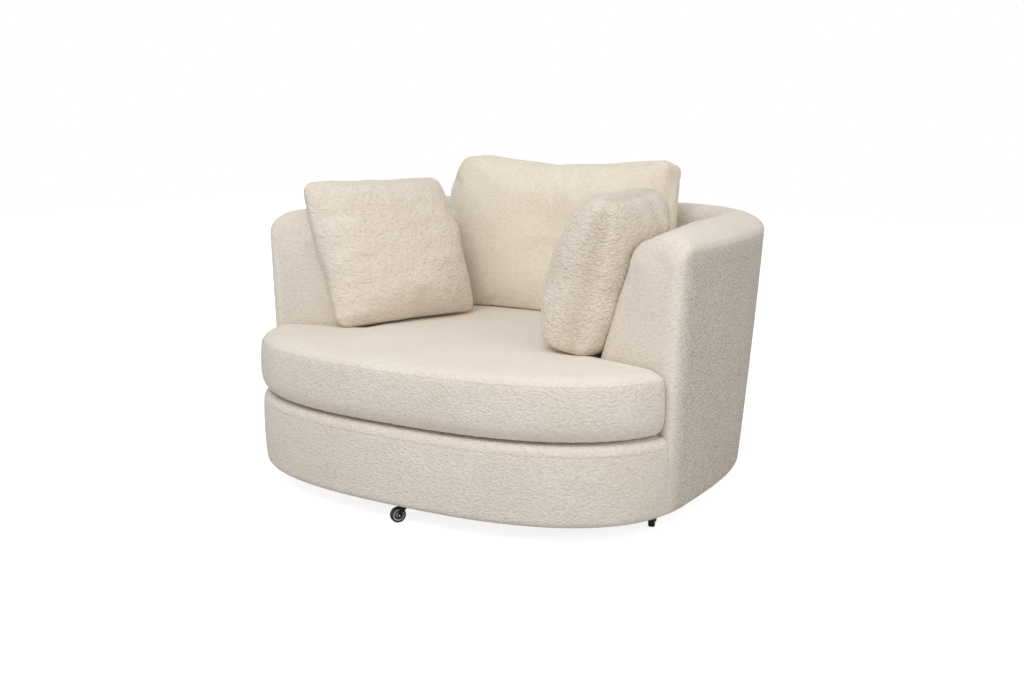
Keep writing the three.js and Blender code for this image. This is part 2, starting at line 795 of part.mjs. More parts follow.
// A cover: outer skin and lining, joined round the slot that the zip closes.
function padCover(outer, lining, opening) {
  const out = [];
  padTriangles(out, outer, false, opening);
  padTriangles(out, lining, true, opening);
  const { ring, from, to } = opening;
  for (let j = from; j < to; j += 1) {
    quad(out, outer.rings[ring][j], outer.rings[ring][j + 1], lining.rings[ring][j + 1], lining.rings[ring][j]);
    const upper = ring + 1;
    quad(out, outer.rings[upper][j + 1], outer.rings[upper][j], lining.rings[upper][j], lining.rings[upper][j + 1]);
  }
  quad(out, outer.rings[ring][to], outer.rings[ring + 1][to], lining.rings[ring + 1][to], lining.rings[ring][to]);
  quad(out, outer.rings[ring + 1][from], outer.rings[ring][from], lining.rings[ring][from], lining.rings[ring + 1][from]);
  return solidGeometry(out);
}

// The zip fills the slot, with a small gap all round.
function padZip(outer, lining, opening) {
  const { ring, from, to } = opening;
  const grid = (skin) => {
    const columns = [];
    for (let j = from; j <= to; j += 1) {
      let low = skin.rings[ring][j];
      let top = skin.rings[ring + 1][j];
      const neighbour = j === from ? j + 1 : j - 1;
      if (j === from || j === to) {
        low = stepped(low, skin.rings[ring][neighbour], seatGap);
        top = stepped(top, skin.rings[ring + 1][neighbour], seatGap);
      }
      columns.push([stepped(low, top, seatGap), stepped(top, low, seatGap)]);
    }
    return columns;
  };
  return sheetGeometry(grid(outer), grid(lining));
}

function stepped(from, towards, distance) {
  return from.clone().add(towards.clone().sub(from).setLength(distance));
}

function cushion(prefix, fill, makeRings, form, opening) {
  const group = new THREE.Group();
  const outer = makeRings(form, 0);
  const lining = makeRings(form, padCoverThickness);
  const core = makeRings(form, padCoverThickness + padCoreGap);
  group.add(mesh(prefix + "_cover", padCover(outer, lining, opening), boucle));
  group.add(mesh(prefix + "_" + fill, padCore(core), foam));
  group.add(mesh(prefix + "_zip", padZip(outer, lining, opening), zipTape));
  return group;
}

function seatCushion() {
  const plan = seatPlan(-seatOverhang, 2 * cushionGap, cushionGap);
  const bulges = plan.map((point) => (point.y < earLineY(Math.abs(point.x)) - seatEdgeRadius ? seatBulge : 0));
  const centre = new THREE.Vector2(0, -armFrontOuter);
  const form = { plan, centre, thickness: seatThickness, radius: seatEdgeRadius, crownTop: seatCrown, crownLow: 0, bulges };
  const middle = plan.length / 2;
  const opening = { ring: crownRingShares.length + 2, from: middle - seatZipSteps, to: middle + seatZipSteps };
  const group = cushion("seat_cushion", "core", boxedRings, form, opening);
  group.position.z = deckHeight + seatGap;
  return group;
}

// A rounded rectangle whose sides are drawn in between its corners.
function padPlan(width, height, square, drawShare) {
  return Array.from({ length: padPlanPoints }, (_, i) => {
    const angle = (4 * rightTurn * i) / padPlanPoints - rightTurn;
    const point = planPoint(angle, width / 2, height / 2, square, height / 2, square);
    const corner = Math.abs(Math.sin(2 * angle));
    return point.multiplyScalar(1 - drawShare * (1 - corner)).add(new THREE.Vector2(0, height / 2));
  });
}

// Stands a cushion on its lower edge: turned to face its way, then leant back.
function stoodUp(group, x, y, z, yaw, lean) {
  const upright = new THREE.Group();
  upright.add(group);
  upright.rotation.x = rightTurn - lean;
  const placed = new THREE.Group();
  placed.add(upright);
  placed.position.set(x, y, z);
  placed.rotation.z = yaw;
  return placed;
}

function backCushion() {
  const plan = padPlan(backPadWidth, backPadHeight, backPadSquareShare, backPadDrawShare);
  const centre = new THREE.Vector2(0, backPadHeight / 2);
  const form = {
    plan,
    centre,
    thickness: backPadThickness,
    radius: backPadEdgeRadius,
    crownTop: backPadCrown,
    crownLow: backPadCrown,
    bulges: plan.map(() => 0),
  };
  const [from, to] = padZipSteps;
  const opening = { ring: crownRingShares.length + 2, from, to };
  const group = cushion("back_cushion", "core", boxedRings, form, opening);
  group.position.z = -backPadThickness;
  return stoodUp(group, backPadX, backPadFrontY, seatTopZ + backPadRise, 0, backPadLean);
}

function scatterCushion(prefix, x, y, rise, yaw, lean, crownLow) {
  const plan = padPlan(scatterWidth, scatterHeight, scatterSquareShare, scatterDrawShare);
  const centre = new THREE.Vector2(0, scatterHeight / 2);
  const form = { plan, centre, crownTop: scatterFrontCrown, crownLow, seam: scatterSeam };
  const [from, to] = padZipSteps;
  const opening = { ring: knifeRingShares.length - 1, from, to };
  const group = cushion(prefix, "insert", knifeRings, form, opening);
  return stoodUp(group, x, y, seatTopZ + rise, yaw, lean);
}

// Casters, each in its own frame: the swivel axis is upright through the origin, the wheel trails towards +X.
function casterPlate(number) {
  const plate = new THREE.BoxGeometry(casterPlateSize, casterPlateSize, casterPlateThickness);
  const made = mesh("caster_" + number + "_plate", plate, zincSteel);
  made.position.z = casterPlateLow + casterPlateThickness / 2;
  return made;
}

const casterPlateLow = baseRingLow - seatGap - casterPlateThickness;
const forkTop = casterPlateLow - seatGap;
const forkInside = wheelWidth / 2 + wheelSideGap;
const axleLength = 2 * (forkInside + forkThickness + axleStandOut);
const axleBore = axleRadius + seatGap;
const forkEyeRadius = axleBore + forkEyeWidth;

function casterFork(number) {
  const leg = new THREE.Shape();
  leg.moveTo(-forkCrownRadius * forkBackShare, forkTop);
  leg.lineTo(forkCrownRadius * forkAheadShare, forkTop);
  leg.lineTo(wheelTrail + forkEyeRadius, wheelRadius);
  leg.absarc(wheelTrail, wheelRadius, forkEyeRadius, 0, -2 * rightTurn, true);
  const eye = new THREE.Path();
  eye.absarc(wheelTrail, wheelRadius, axleBore, 0, 4 * rightTurn, false);
  leg.holes.push(eye);
  const options = { depth: forkThickness, bevelEnabled: false, curveSegments: axleSides / 2 };
  const legs = [-forkInside, forkInside + forkThickness].map((y) =>
    new THREE.ExtrudeGeometry(leg, options).rotateX(rightTurn).translate(0, y, 0),
  );
  const crown = new THREE.CylinderGeometry(forkCrownRadius, forkCrownRadius, forkThickness, axleSides);
  crown.rotateX(rightTurn).translate(0, 0, forkTop - forkThickness / 2);
  return mesh("caster_" + number + "_fork", join(crown, ...legs), blackSteel);
}

function turned(name, profile, material) {
  const points = profile.map(([radius, across]) => new THREE.Vector2(radius, across));
  const made = mesh(name, new THREE.LatheGeometry([...points, points[0]], wheelSides), material);
  made.position.set(wheelTrail, 0, wheelRadius);
  return made;
}

function casterWheel(number) {
  const rim = wheelRadius - treadThickness - seatGap;
  const half = wheelWidth / 2;
  const [dishRadius, dishHalf] = [rim * wheelDishShares[0], half * wheelDishShares[1]];
  const profile = [
    [axleBore, -half],
    [axleBore * 2, -half],
    [dishRadius, -dishHalf],
    [rim, -half * wheelRimShare],
    [rim, half * wheelRimShare],
    [dishRadius, dishHalf],
    [axleBore * 2, half],
    [axleBore, half],
  ];
  return turned("caster_" + number + "_wheel", profile, wheelPlastic);
}

function casterTread(number) {
  const inside = wheelRadius - treadThickness;
  const half = wheelWidth / 2;
  const shoulder = treadThickness / 2;
  const profile = [
    [inside, -half * wheelRimShare],
    [wheelRadius - shoulder, -half],
    [wheelRadius, shoulder - half],
    [wheelRadius, half - shoulder],
    [wheelRadius - shoulder, half],
    [inside, half * wheelRimShare],
  ];
  return turned("caster_" + number + "_tread", profile, tread);
}

function casterAxle(number) {
  const pin = new THREE.CylinderGeometry(axleRadius, axleRadius, axleLength, axleSides);
  const made = mesh("caster_" + number + "_axle", pin, zincSteel);
  made.position.set(wheelTrail, 0, wheelRadius);
  return made;
}

function caster(number, x, y, trailShare) {
  const group = new THREE.Group();
  group.add(casterPlate(number));
  const swivel = new THREE.Group();
  swivel.add(casterFork(number), casterWheel(number), casterTread(number), casterAxle(number));
  swivel.rotation.z = 2 * rightTurn * trailShare;
  group.add(swivel);
  group.position.set(x, y, 0);
  return group;
}

const parts = new THREE.Group();
parts.add(baseRing(), deckRing(), rimRail());
const ribPlaces = [
  ["arm_rib", armRibY, false],
  ["side_rib", sideRibY, false],
  ["back_rib", backRibX, true],
];
for (const [name, at, turn] of ribPlaces) {
  parts.add(rib(name + "_right", at, turn, 1), rib(name + "_left", at, turn, -1));
}
parts.add(frontPost("front_post_right", 1), frontPost("front_post_left", -1));
for (let i = 0; i < springCount; i += 1) {
  parts.add(seatSpring("seat_spring_" + (i + 1), (i - (springCount - 1) / 2) * springPitch));
}
parts.add(deckPad(), dustCover(), insideFoam(), rimFoam());
parts.add(outsidePanel(), insidePanel(), frontPanel());
parts.add(seatCushion(), backCushion());
const leftPlace = [leftScatterX, leftScatterY, leftScatterRise, leftScatterYaw, leftScatterLean, leftScatterBackCrown];
const rightPlace = [rightScatterX, rightScatterY, rightScatterRise, rightScatterYaw, rightScatterLean, rightScatterBackCrown];
parts.add(scatterCushion("left_cushion", ...leftPlace), scatterCushion("right_cushion", ...rightPlace));
const sideX = bodyHalfWidth - sideCasterInset;
const casterPlaces = [
  [frontCasterX, frontCasterInset - frontDepth],
  [sideX, -sideCasterY],
  [rearCasterX, backReachAt(rearCasterX, skirtHeight) - rearCasterInset],
  [-rearCasterX, backReachAt(rearCasterX, skirtHeight) - rearCasterInset],
  [-sideX, -sideCasterY],
];
casterPlaces.forEach(([x, y], i) => parts.add(caster(i + 1, x, y, casterTrailShares[i])));

const chair = new THREE.Group();
parts.position.y = -centreY;
chair.add(parts);

export default chair;
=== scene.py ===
import json
import math

import bpy
import numpy as np
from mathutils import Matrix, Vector


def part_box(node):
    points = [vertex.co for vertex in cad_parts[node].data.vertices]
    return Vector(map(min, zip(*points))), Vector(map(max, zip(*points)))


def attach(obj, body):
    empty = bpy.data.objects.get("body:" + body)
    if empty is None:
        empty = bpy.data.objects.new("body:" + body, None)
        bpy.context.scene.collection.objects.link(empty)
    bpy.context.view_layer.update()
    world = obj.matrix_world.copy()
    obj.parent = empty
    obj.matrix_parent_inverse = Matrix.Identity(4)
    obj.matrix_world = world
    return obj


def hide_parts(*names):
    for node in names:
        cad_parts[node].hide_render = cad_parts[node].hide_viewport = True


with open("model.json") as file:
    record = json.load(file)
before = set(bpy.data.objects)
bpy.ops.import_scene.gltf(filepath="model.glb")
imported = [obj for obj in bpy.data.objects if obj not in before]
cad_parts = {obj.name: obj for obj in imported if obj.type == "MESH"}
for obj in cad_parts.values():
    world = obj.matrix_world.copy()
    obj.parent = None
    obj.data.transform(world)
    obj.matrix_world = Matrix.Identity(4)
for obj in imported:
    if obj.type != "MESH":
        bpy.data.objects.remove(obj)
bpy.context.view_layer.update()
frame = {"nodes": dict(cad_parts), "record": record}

scene = bpy.context.scene


# shader nodes

def fillSocket(socket, value):
    # a socket takes a fixed value, or is linked to another node's output
    if isinstance(value, bpy.types.NodeSocket):
        socket.id_data.links.new(value, socket)
    else:
        socket.default_value = value


def fillSockets(node, **inputs):
    for key, value in inputs.items():
        fillSocket(node.inputs[key.replace("_", " ")], value)


def addNode(tree, kind, **inputs):
    # one shader node with some of its sockets filled by name
    node = tree.nodes.new("ShaderNode" + kind)
    fillSockets(node, **inputs)
    return node


def inOrder(tree, kind, *values, operation=None):
    # one shader node with its first sockets filled in their order
    node = tree.nodes.new("ShaderNode" + kind)
    if operation:
        node.operation = operation
    for socket, value in zip(node.inputs, values):
        fillSocket(socket, value)
    return node.outputs[0] if node.outputs else None


# camera, light and background

camera = {
    "place": (1.7570, -2.8327, 1.0007),   # metres, from the middle of the chair on the floor
    "looks": (-0.52157706, 0.83166788, -0.19048862),
    "lens": 43.684,
    "sensor": 36.0,
    "far": 60,
}

studio = {
    "world": 0.58,            # even light from all round
    "keyPlace": (0.52, -2.6, 3.3),
    "keyWatts": 61,
    "keySize": 2.2,
    "keyTint": (1.0, 1.0, 1.0),
    "fillPlace": (3.4, -1.2, 1.9),
    "fillWatts": 19.5,
    "fillSize": 2.4,
    "fillTint": (1.0, 0.92, 0.86),
    "aim": (0, 0, 0.35),      # the place that both lamps face
    "floorHalf": 8,
    "floorGrey": 0.62,
    "floorGlow": 0.85,
}


def facing(thing, place, way):
    # puts a camera or lamp in its place, turned to look along the way
    thing.location = place
    thing.rotation_mode = "QUATERNION"
    thing.rotation_quaternion = Vector(way).to_track_quat("-Z", "Y")
    scene.collection.objects.link(thing)


def makeCamera():
    data = bpy.data.cameras.new("camera")
    data.lens = camera["lens"]
    data.sensor_width = camera["sensor"]
    data.clip_end = camera["far"]
    scene.camera = bpy.data.objects.new("camera", data)
    facing(scene.camera, camera["place"], camera["looks"])


def makeLamp(name):
    data = bpy.data.lights.new(name, "AREA")
    data.shape = "DISK"
    data.color, data.energy, data.size = (studio[name + key] for key in ("Tint", "Watts", "Size"))
    place = Vector(studio[name + "Place"])
    facing(bpy.data.objects.new(name, data), place, Vector(studio["aim"]) - place)


def makeWorld():
    # the camera, glossy surfaces and clear ones see plain white; everything is lit more softly than that
    scene.world = bpy.data.worlds.new("studio")
    scene.world.use_nodes = True
    tree = scene.world.node_tree
    tree.nodes.clear()
    rays = addNode(tree, "LightPath").outputs
    seen = inOrder(tree, "Math", rays["Is Camera Ray"], rays["Is Glossy Ray"], operation="MAXIMUM")
    seen = inOrder(tree, "Math", seen, rays["Is Transmission Ray"], operation="MAXIMUM")
    lit = inOrder(tree, "Background", (1, 1, 1, 1), studio["world"])
    white = inOrder(tree, "Background", (1, 1, 1, 1), 1.0)
    inOrder(tree, "OutputWorld", inOrder(tree, "MixShader", seen, lit, white))


def makeFloor():
    # a grey floor that glows for the camera alone, so that it looks white and keeps the chair's shadow
    far = studio["floorHalf"]
    mesh = bpy.data.meshes.new("floor")
    mesh.from_pydata([(-far, -far, 0), (far, -far, 0), (far, far, 0), (-far, far, 0)], [], [(0, 1, 2, 3)])
    floor = bpy.data.objects.new("floor", mesh)
    scene.collection.objects.link(floor)
    finish = bpy.data.materials.new("floorWhite")
    finish.use_nodes = True
    tree = finish.node_tree
    tree.nodes.clear()
    seen = addNode(tree, "LightPath").outputs["Is Camera Ray"]
    glow = inOrder(tree, "Math", seen, studio["floorGlow"], operation="MULTIPLY")
    plain = inOrder(tree, "BsdfDiffuse", (studio["floorGrey"],) * 3 + (1,))
    lit = addNode(tree, "Emission", Strength=glow).outputs[0]
    inOrder(tree, "OutputMaterial", inOrder(tree, "AddShader", plain, lit))
    mesh.materials.append(finish)


scene.view_settings.view_transform = "Standard"
makeCamera()
makeWorld()
makeLamp("key")
makeLamp("fill")
makeFloor()
print("camera and studio are ready")


# finishes

def newFinish(name):
    # a new material, its nodes, its shader and the place on the object
    finish = bpy.data.materials.new(name)
    finish.use_nodes = True
    tree = finish.node_tree
    return finish, tree, tree.nodes["Principled BSDF"], addNode(tree, "TexCoord").outputs["Object"]


def noiseOver(tree, place, scale, detail, roughness, distortion=0.0):
    # noise of scale lumps for each metre
    return addNode(tree, "TexNoise", Vector=place, Scale=scale, Detail=detail, Roughness=roughness,
                   Distortion=distortion).outputs


def rampBetween(tree, factor, *stops):
    # colours at their places along the factor
    ramp = addNode(tree, "ValToRGB", Fac=factor)
    band = ramp.color_ramp
    while len(band.elements) < len(stops):
        band.elements.new(0.5)
    for element, (place, colour) in zip(band.elements, stops):
        element.position = place
        element.color = (*colour, 1)
    return ramp.outputs[0]


def mixed(tree, first, second, share=1.0, blend="MIX"):
    # two colours mixed by a share that may pass 1
    mix = addNode(tree, "Mix")
    mix.data_type = "RGBA"
    mix.blend_type = blend
    mix.clamp_factor = False
    fillSockets(mix, Factor=share, A=first, B=second)
    return mix.outputs["Result"]


def ownWeight(tree, name):
    # a weight that setWeights gave to the piece's points
    weight = addNode(tree, "Attribute")
    weight.attribute_name = name
    return weight.outputs["Fac"]


def bumpChain(tree, *heights):
    # reliefs of (height, metres, strength) laid over each other
    before = {}
    for height, distance, strength in heights:
        bump = addNode(tree, "Bump", Strength=strength, Distance=distance, Height=height, **before)
        before = {"Normal": bump.outputs[0]}
    return bump.outputs[0]


boucle = {
    "light": (0.890, 0.838, 0.760),
    "middle": (0.825, 0.766, 0.686),
    "deep": (0.690, 0.625, 0.545),
    "seam": (0.80, 0.76, 0.70),        # painted shade: times the colour where the seam weight is full, along sewn lines and creases and on the arms' front faces
    "wornPatch": (0.955, 0.940, 0.925),
    "nub": 0.0055,            # metres across one nub of the yarn
    "depth": 0.0021,
    "patch": 0.16,
    "clump": 0.021,
    "warp": (0.6, 1.1),       # noise that bends the pattern: its scale, and how far, in nubs
    "cells": (0.9, -0.45),    # scale of the cells, and their share in the height
    "lumps": 0.85,            # scale of the lumps
    "patchRelief": (0.004, 0.15),
    "stretch": (0.80, 0.80, 1.25),
    "contrast": (0.35, 0.5),  # colour contrast of the nubs, partly painted shade between them: times the nap, and without any nap
    "napDepth": 1.25,         # depth that a full nap adds, as a share
    "sheen": 0.2,
    "sheenTint": (1.0, 0.97, 0.92, 1),
}


def boucleFinish(name, tint=(1, 1, 1), size=1.0, depth=1.0, clumps=0.0):
    # nubs are noise mixed with cells; the seam weight paints shade along sewn lines and creases and on the
    # arms' front faces, and the nap weight deepens the nubs or lays them flat, and with them the painted
    # shade between the nubs
    finish, tree, shader, place = newFinish(name)
    stretched = addNode(tree, "Mapping", Vector=place, Scale=boucle["stretch"]).outputs[0]
    nub = boucle["nub"] * size
    warpScale, warpReach = boucle["warp"]
    warp = noiseOver(tree, stretched, warpScale / nub, 2.0, 0.6)["Color"]
    warped = inOrder(tree, "VectorMath", warp, (warpReach * nub,) * 3, stretched, operation="MULTIPLY_ADD")
    cellScale, cellShare = boucle["cells"]
    cells = addNode(tree, "TexVoronoi", Vector=warped, Scale=cellScale / nub, Randomness=1.0)
    lumps = noiseOver(tree, warped, boucle["lumps"] / nub, 3.0, 0.62)["Fac"]
    height = inOrder(tree, "Math", cells.outputs["Distance"], cellShare, lumps, operation="MULTIPLY_ADD")
    patch = noiseOver(tree, place, 1 / boucle["patch"], 3.0, 0.55)["Fac"]
    napAndShade = ownWeight(tree, "napAndShade")
    deep, middle, light = (tuple(c * t for c, t in zip(boucle[key], tint))
                           for key in ("deep", "middle", "light"))
    yarn = rampBetween(tree, height, (0.05, deep), (0.30, middle), (0.55, light))
    # painted shade: more nap gives the nubs more colour contrast, darker in their hollows where small shadows
    # fall; the nap also deepens their bump relief below
    contrast = inOrder(tree, "Math", napAndShade, *boucle["contrast"], operation="MULTIPLY_ADD")
    colour = mixed(tree, (*middle, 1), yarn, contrast)
    tone = rampBetween(tree, patch, (0.3, boucle["wornPatch"]), (0.7, (1, 1, 1)))
    # painted shade along sewn lines and creases and on the arms' front faces, from the seam weight
    paintedShade = rampBetween(tree, ownWeight(tree, "seam"), (0, (1, 1, 1)), (1, boucle["seam"]))
    for layer in (tone, paintedShade):
        colour = mixed(tree, colour, layer, blend="MULTIPLY")
    slow = [(patch, *boucle["patchRelief"])]
    if clumps:
        slow.append((noiseOver(tree, stretched, 1 / boucle["clump"], 2.0, 0.5, 0.6)["Fac"], clumps, 1.0))
    flat = boucle["depth"] * depth
    relief = inOrder(tree, "Math", napAndShade, flat * boucle["napDepth"], flat, operation="MULTIPLY_ADD")
    fillSockets(shader, Base_Color=colour, Roughness=0.95, Specular_IOR_Level=0.15,
                Sheen_Weight=boucle["sheen"], Sheen_Roughness=0.5, Sheen_Tint=boucle["sheenTint"],
                Normal=bumpChain(tree, *slow, (height, relief, 1.0)))
    return finish


def clothFinish(name, colours, thread, depth, roughness=0.9, grooveShade=None):
    # noise of the thread's size mixes two colours and is their relief; the groove weight marks where a third
    # lies, painted shade in a recess
    finish, tree, shader, place = newFinish(name)
    weave = noiseOver(tree, place, 1 / thread, 4.0, 0.7)["Fac"]
    colour = rampBetween(tree, weave, (0.35, colours[0]), (0.65, colours[1]))
    if grooveShade:
        colour = mixed(tree, colour, (*grooveShade, 1), ownWeight(tree, "grooveShade"))
    fillSockets(shader, Base_Color=colour, Roughness=roughness, Normal=bumpChain(tree, (weave, depth, 0.6)))
    return finish


def plywoodFinish():
    # grain stretched along x, with bands across z where the plies show
    finish, tree, shader, place = newFinish("plywoodFinish")
    along = addNode(tree, "Mapping", Vector=place, Scale=(3.0, 40.0, 40.0)).outputs[0]
    grain = noiseOver(tree, along, 2.0, 6.0, 0.65, 0.6)["Fac"]
    plies = addNode(tree, "TexWave", Vector=place, Scale=90.0, Distortion=0.4)
    plies.bands_direction = "Z"
    wood = rampBetween(tree, grain, (0.3, (0.42, 0.27, 0.14)), (0.5, (0.60, 0.43, 0.25)),
                       (0.72, (0.70, 0.53, 0.33)))
    layers = rampBetween(tree, plies.outputs["Fac"], (0.2, (0.82, 0.80, 0.78)), (0.6, (1, 1, 1)))
    fillSockets(shader, Base_Color=mixed(tree, wood, layers, blend="MULTIPLY"), Roughness=0.65,
                Normal=bumpChain(tree, (grain, 0.0004, 0.5)))
    return finish


def metalFinish(name, colours, metallic, rough):
    # fine wear changes the colour and the roughness together
    finish, tree, shader, place = newFinish(name)
    wear = noiseOver(tree, place, 160.0, 5.0, 0.7)["Fac"]
    shine = addNode(tree, "MapRange", Value=wear, To_Min=rough[0], To_Max=rough[1]).outputs[0]
    colour = rampBetween(tree, wear, (0.3, colours[0]), (0.7, colours[1]))
    fillSockets(shader, Base_Color=colour, Roughness=shine, Metallic=metallic,
                Normal=bumpChain(tree, (wear, 0.0002, 0.4)))
    return finish


finishes = {
    "boucle": boucleFinish("bodyBoucle"),
    "foam": clothFinish("foamFinish", ((0.62, 0.55, 0.36), (0.80, 0.74, 0.52)), 0.004, 0.0015),
    "plywood": plywoodFinish(),
    "felt": clothFinish("feltFinish", ((0.10, 0.10, 0.10), (0.22, 0.21, 0.20)), 0.003, 0.0006),
    "dust_cloth": clothFinish("dustClothFinish", ((0.008, 0.008, 0.009), (0.03, 0.03, 0.032)), 0.0012,
                              0.0003),
    "spring_steel": metalFinish("springSteelFinish", ((0.06, 0.06, 0.07), (0.14, 0.14, 0.15)), 0.9,
                                (0.3, 0.5)),
    "zinc_steel": metalFinish("zincFinish", ((0.45, 0.46, 0.47), (0.62, 0.63, 0.65)), 0.95, (0.25, 0.42)),
    "black_steel": metalFinish("blackSteelFinish", ((0.008, 0.008, 0.009), (0.02, 0.02, 0.022)), 0.4,
                               (0.3, 0.5)),
    "tread_rubber": clothFinish("treadFinish", ((0.012,) * 3, (0.03,) * 3), 0.002, 0.0002, 0.7),
    # the wheel's third colour, near black, is painted shade in the recess of its side
    "wheel_plastic": clothFinish("wheelFinish", ((0.42, 0.42, 0.43), (0.54, 0.54, 0.55)), 0.004, 0.0001, 0.4,
                                 (0.01, 0.01, 0.011)),
    "zip_tape": clothFinish("zipTapeFinish", ((0.55, 0.48, 0.38), (0.68, 0.60, 0.49)), 0.0012, 0.0003),
}
for entry in frame["record"]["subparts"]:
    node = frame["nodes"][entry["node"]]
    node.data.materials.clear()
    node.data.materials.append(finishes[entry["material_slot"]])
print("finishes are ready")


# shared shapes

body = {
    "halfWidth": 0.600, "front": 0.386, "back": 0.670, "frontPower": 2.58, "backPower": 3.14,
    "sideFlare": 0.043, "backLean": 0.186,    # metres outwards for each metre of height above the skirt
    "skirt": 0.050, "deck": 0.240, "rim": 0.703,
    "wellHalfWidth": 0.375, "wellBack": 0.600, "wellPower": 5.0, "wellBend": 0.385,
    "rimWellHalfWidth": 0.478, "rimWellBack": 0.655,
    "armFrontOuter": 0.118, "armFrontInner": 0.045,
    "innerShoulder": 0.046,
    "armTopFront": 0.060, "armInnerFront": 0.030, "armOuterFront": 0.026,
    # metres behind the arm's front, and how far the top's inner edge lies below its outer edge there
    "innerDrop": ((0, 0.020), (0.06, 0.024), (0.12, 0.018), (0.18, 0.012), (0.26, 0.005), (0.34, 0), (9, 0)),
    "middleY": 0.192,
}


def planCurve(angle, halfWidth, front, frontPower, backDepth, backPower):
    # superellipse |x/halfWidth|^power + |y/depth|^power = 1, with its own depth and power before and behind
    across, along = np.cos(angle), np.sin(angle)
    power = np.where(along < 0, frontPower, backPower)
    depth = np.where(along < 0, front, backDepth)
    x = halfWidth * np.sign(across) * np.abs(across) ** (2 / power)
    y = depth * np.sign(along) * np.abs(along) ** (2 / power)
    return np.stack(np.broadcast_arrays(x, y - body["middleY"]), -1)


def outerPlan(angle, z):
    # the outside's plan at a height: it flares to the sides and leans back above the skirt
    rise = np.maximum(0, z - body["skirt"])
    return planCurve(angle, body["halfWidth"] + body["sideFlare"] * rise, body["front"], body["frontPower"],
                     body["back"] + body["backLean"] * rise, body["backPower"])


def wellReach(z):
    # the well's half width and back depth, which grow evenly from its bend up to the rim
    rise = np.maximum(0, z - body["wellBend"]) / (body["rim"] - body["wellBend"])
    return (body["wellHalfWidth"] + (body["rimWellHalfWidth"] - body["wellHalfWidth"]) * rise,
            body["wellBack"] + (body["rimWellBack"] - body["wellBack"]) * rise)


def wellPlan(angle, z):
    # the well's plan at a height
    halfWidth, back = wellReach(z)
    return planCurve(angle, halfWidth, body["front"], body["frontPower"], back, body["wellPower"])


def lengthsAlong(path):
    # length of the path up to each of its points
    return np.concatenate([[0], np.cumsum(np.linalg.norm(np.diff(path, axis=0), axis=1))])


def pointsAt(at, lengths, values):
    # values known at some lengths, read at others between them
    return np.stack([np.interp(at, lengths, column) for column in values.T], -1)


def evenAngles(curve, start, end, shares, steps=6000):
    # angles at given shares of the curve's length, and that length
    angles = np.linspace(start, end, steps)
    lengths = lengthsAlong(curve(angles))
    return np.interp(np.asarray(shares) * lengths[-1], lengths, angles), lengths[-1]


def angleAtDepth(depth):
    # where the front curve lies a depth in front of its widest line: depth / front = sine ^ (2 / power)
    return -math.asin((depth / body["front"]) ** (body["frontPower"] / 2))


def roundedInset(behind, radius):
    # how far a quarter circle lies inside its corner, at a distance behind the corner's start
    left = np.maximum(0, radius - np.asarray(behind, float))
    return radius - np.sqrt(np.maximum(0, radius * radius - left * left))


def easeIn(value, start, stop):
    # 0 up to start, 1 from stop on, and 3 s^2 - 2 s^3 between them
    share = np.clip((value - start) / (stop - start), 0, 1)
    return share * share * (3 - 2 * share)


def makeStations(edgeSteps, wallSteps):
    # places along the wall from the right arm's front round the back to the left arm's front
    start, wellStart = angleAtDepth(body["armFrontOuter"]), angleAtDepth(body["armFrontInner"])
    _, arc = evenAngles(lambda a: outerPlan(a, body["skirt"]), start, math.pi / 2, [1])
    edge = body["armTopFront"] * (1 - np.cos(np.linspace(0, math.pi / 2, edgeSteps + 1)))
    behind = np.concatenate([edge, np.linspace(body["armTopFront"], arc, wallSteps + 1)[1:]])
    outer, _ = evenAngles(lambda a: outerPlan(a, body["skirt"]), start, math.pi / 2, behind / arc)
    well, _ = evenAngles(lambda a: wellPlan(a, body["deck"]), wellStart, math.pi / 2, behind / arc)
    join = lambda right: np.concatenate([right, right[:-1][::-1]])
    side = np.concatenate([np.ones(len(behind)), -np.ones(len(behind) - 1)])
    return {"behind": join(behind), "outer": join(outer), "well": join(well), "side": side}


def atOuter(stations, z):
    # the outside's plan points of every station at heights z: (stations, heights, 2)
    flat = outerPlan(stations["outer"][:, None], z)
    flat[..., 0] *= stations["side"][:, None]
    return flat


def atWell(stations, z):
    # the same round the well
    flat = wellPlan(stations["well"][:, None], z)
    flat[..., 0] *= stations["side"][:, None]
    return flat


def inwardAt(stations):
    # direction through the wall at the rim, and the wall's thickness there
    rim = np.full((1, 1), body["rim"])
    way = (atWell(stations, rim) - atOuter(stations, rim))[:, 0]
    wall = np.linalg.norm(way, axis=1, keepdims=True)
    return way / wall, wall[:, 0]


def quads(index):
    # faces between the neighbours in a grid of point numbers
    return np.stack([index[:-1, :-1], index[1:, :-1], index[1:, 1:], index[:-1, 1:]], -1).reshape(-1, 4)


def gridFaces(grid):
    # the faces of one whole grid of points, turned the other way round
    rows, columns = grid.shape[:2]
    return quads(np.arange(rows * columns).reshape(rows, columns))[:, ::-1]


def facedOut(points, faces, centre):
    # turns all faces round if the volume that they enclose comes out negative
    corners = points[[face[:3] for face in faces]] - centre
    inside = (corners[:, 0] * np.cross(corners[:, 1], corners[:, 2])).sum() < 0
    return [face[::-1] for face in faces] if inside else faces


def ringSurface(rings):
    # rings of points closed by a fan at both ends, facing outwards: (rings, count, 3) to points and faces
    amount, count = rings.shape[:2]
    points = np.concatenate([rings.reshape(-1, 3), rings[:1].mean(1), rings[-1:].mean(1)])
    index = np.arange(amount * count).reshape(amount, count)
    low, top = amount * count, amount * count + 1
    after = np.roll(np.arange(count), -1)
    fans = [[low, index[0, j], index[0, after[j]]] for j in range(count)]
    fans += [[top, index[-1, after[j]], index[-1, j]] for j in range(count)]
    faces = [list(face) for face in quads(np.concatenate([index, index[:, :1]], 1))] + fans
    return points, facedOut(points, faces, points.mean(0))


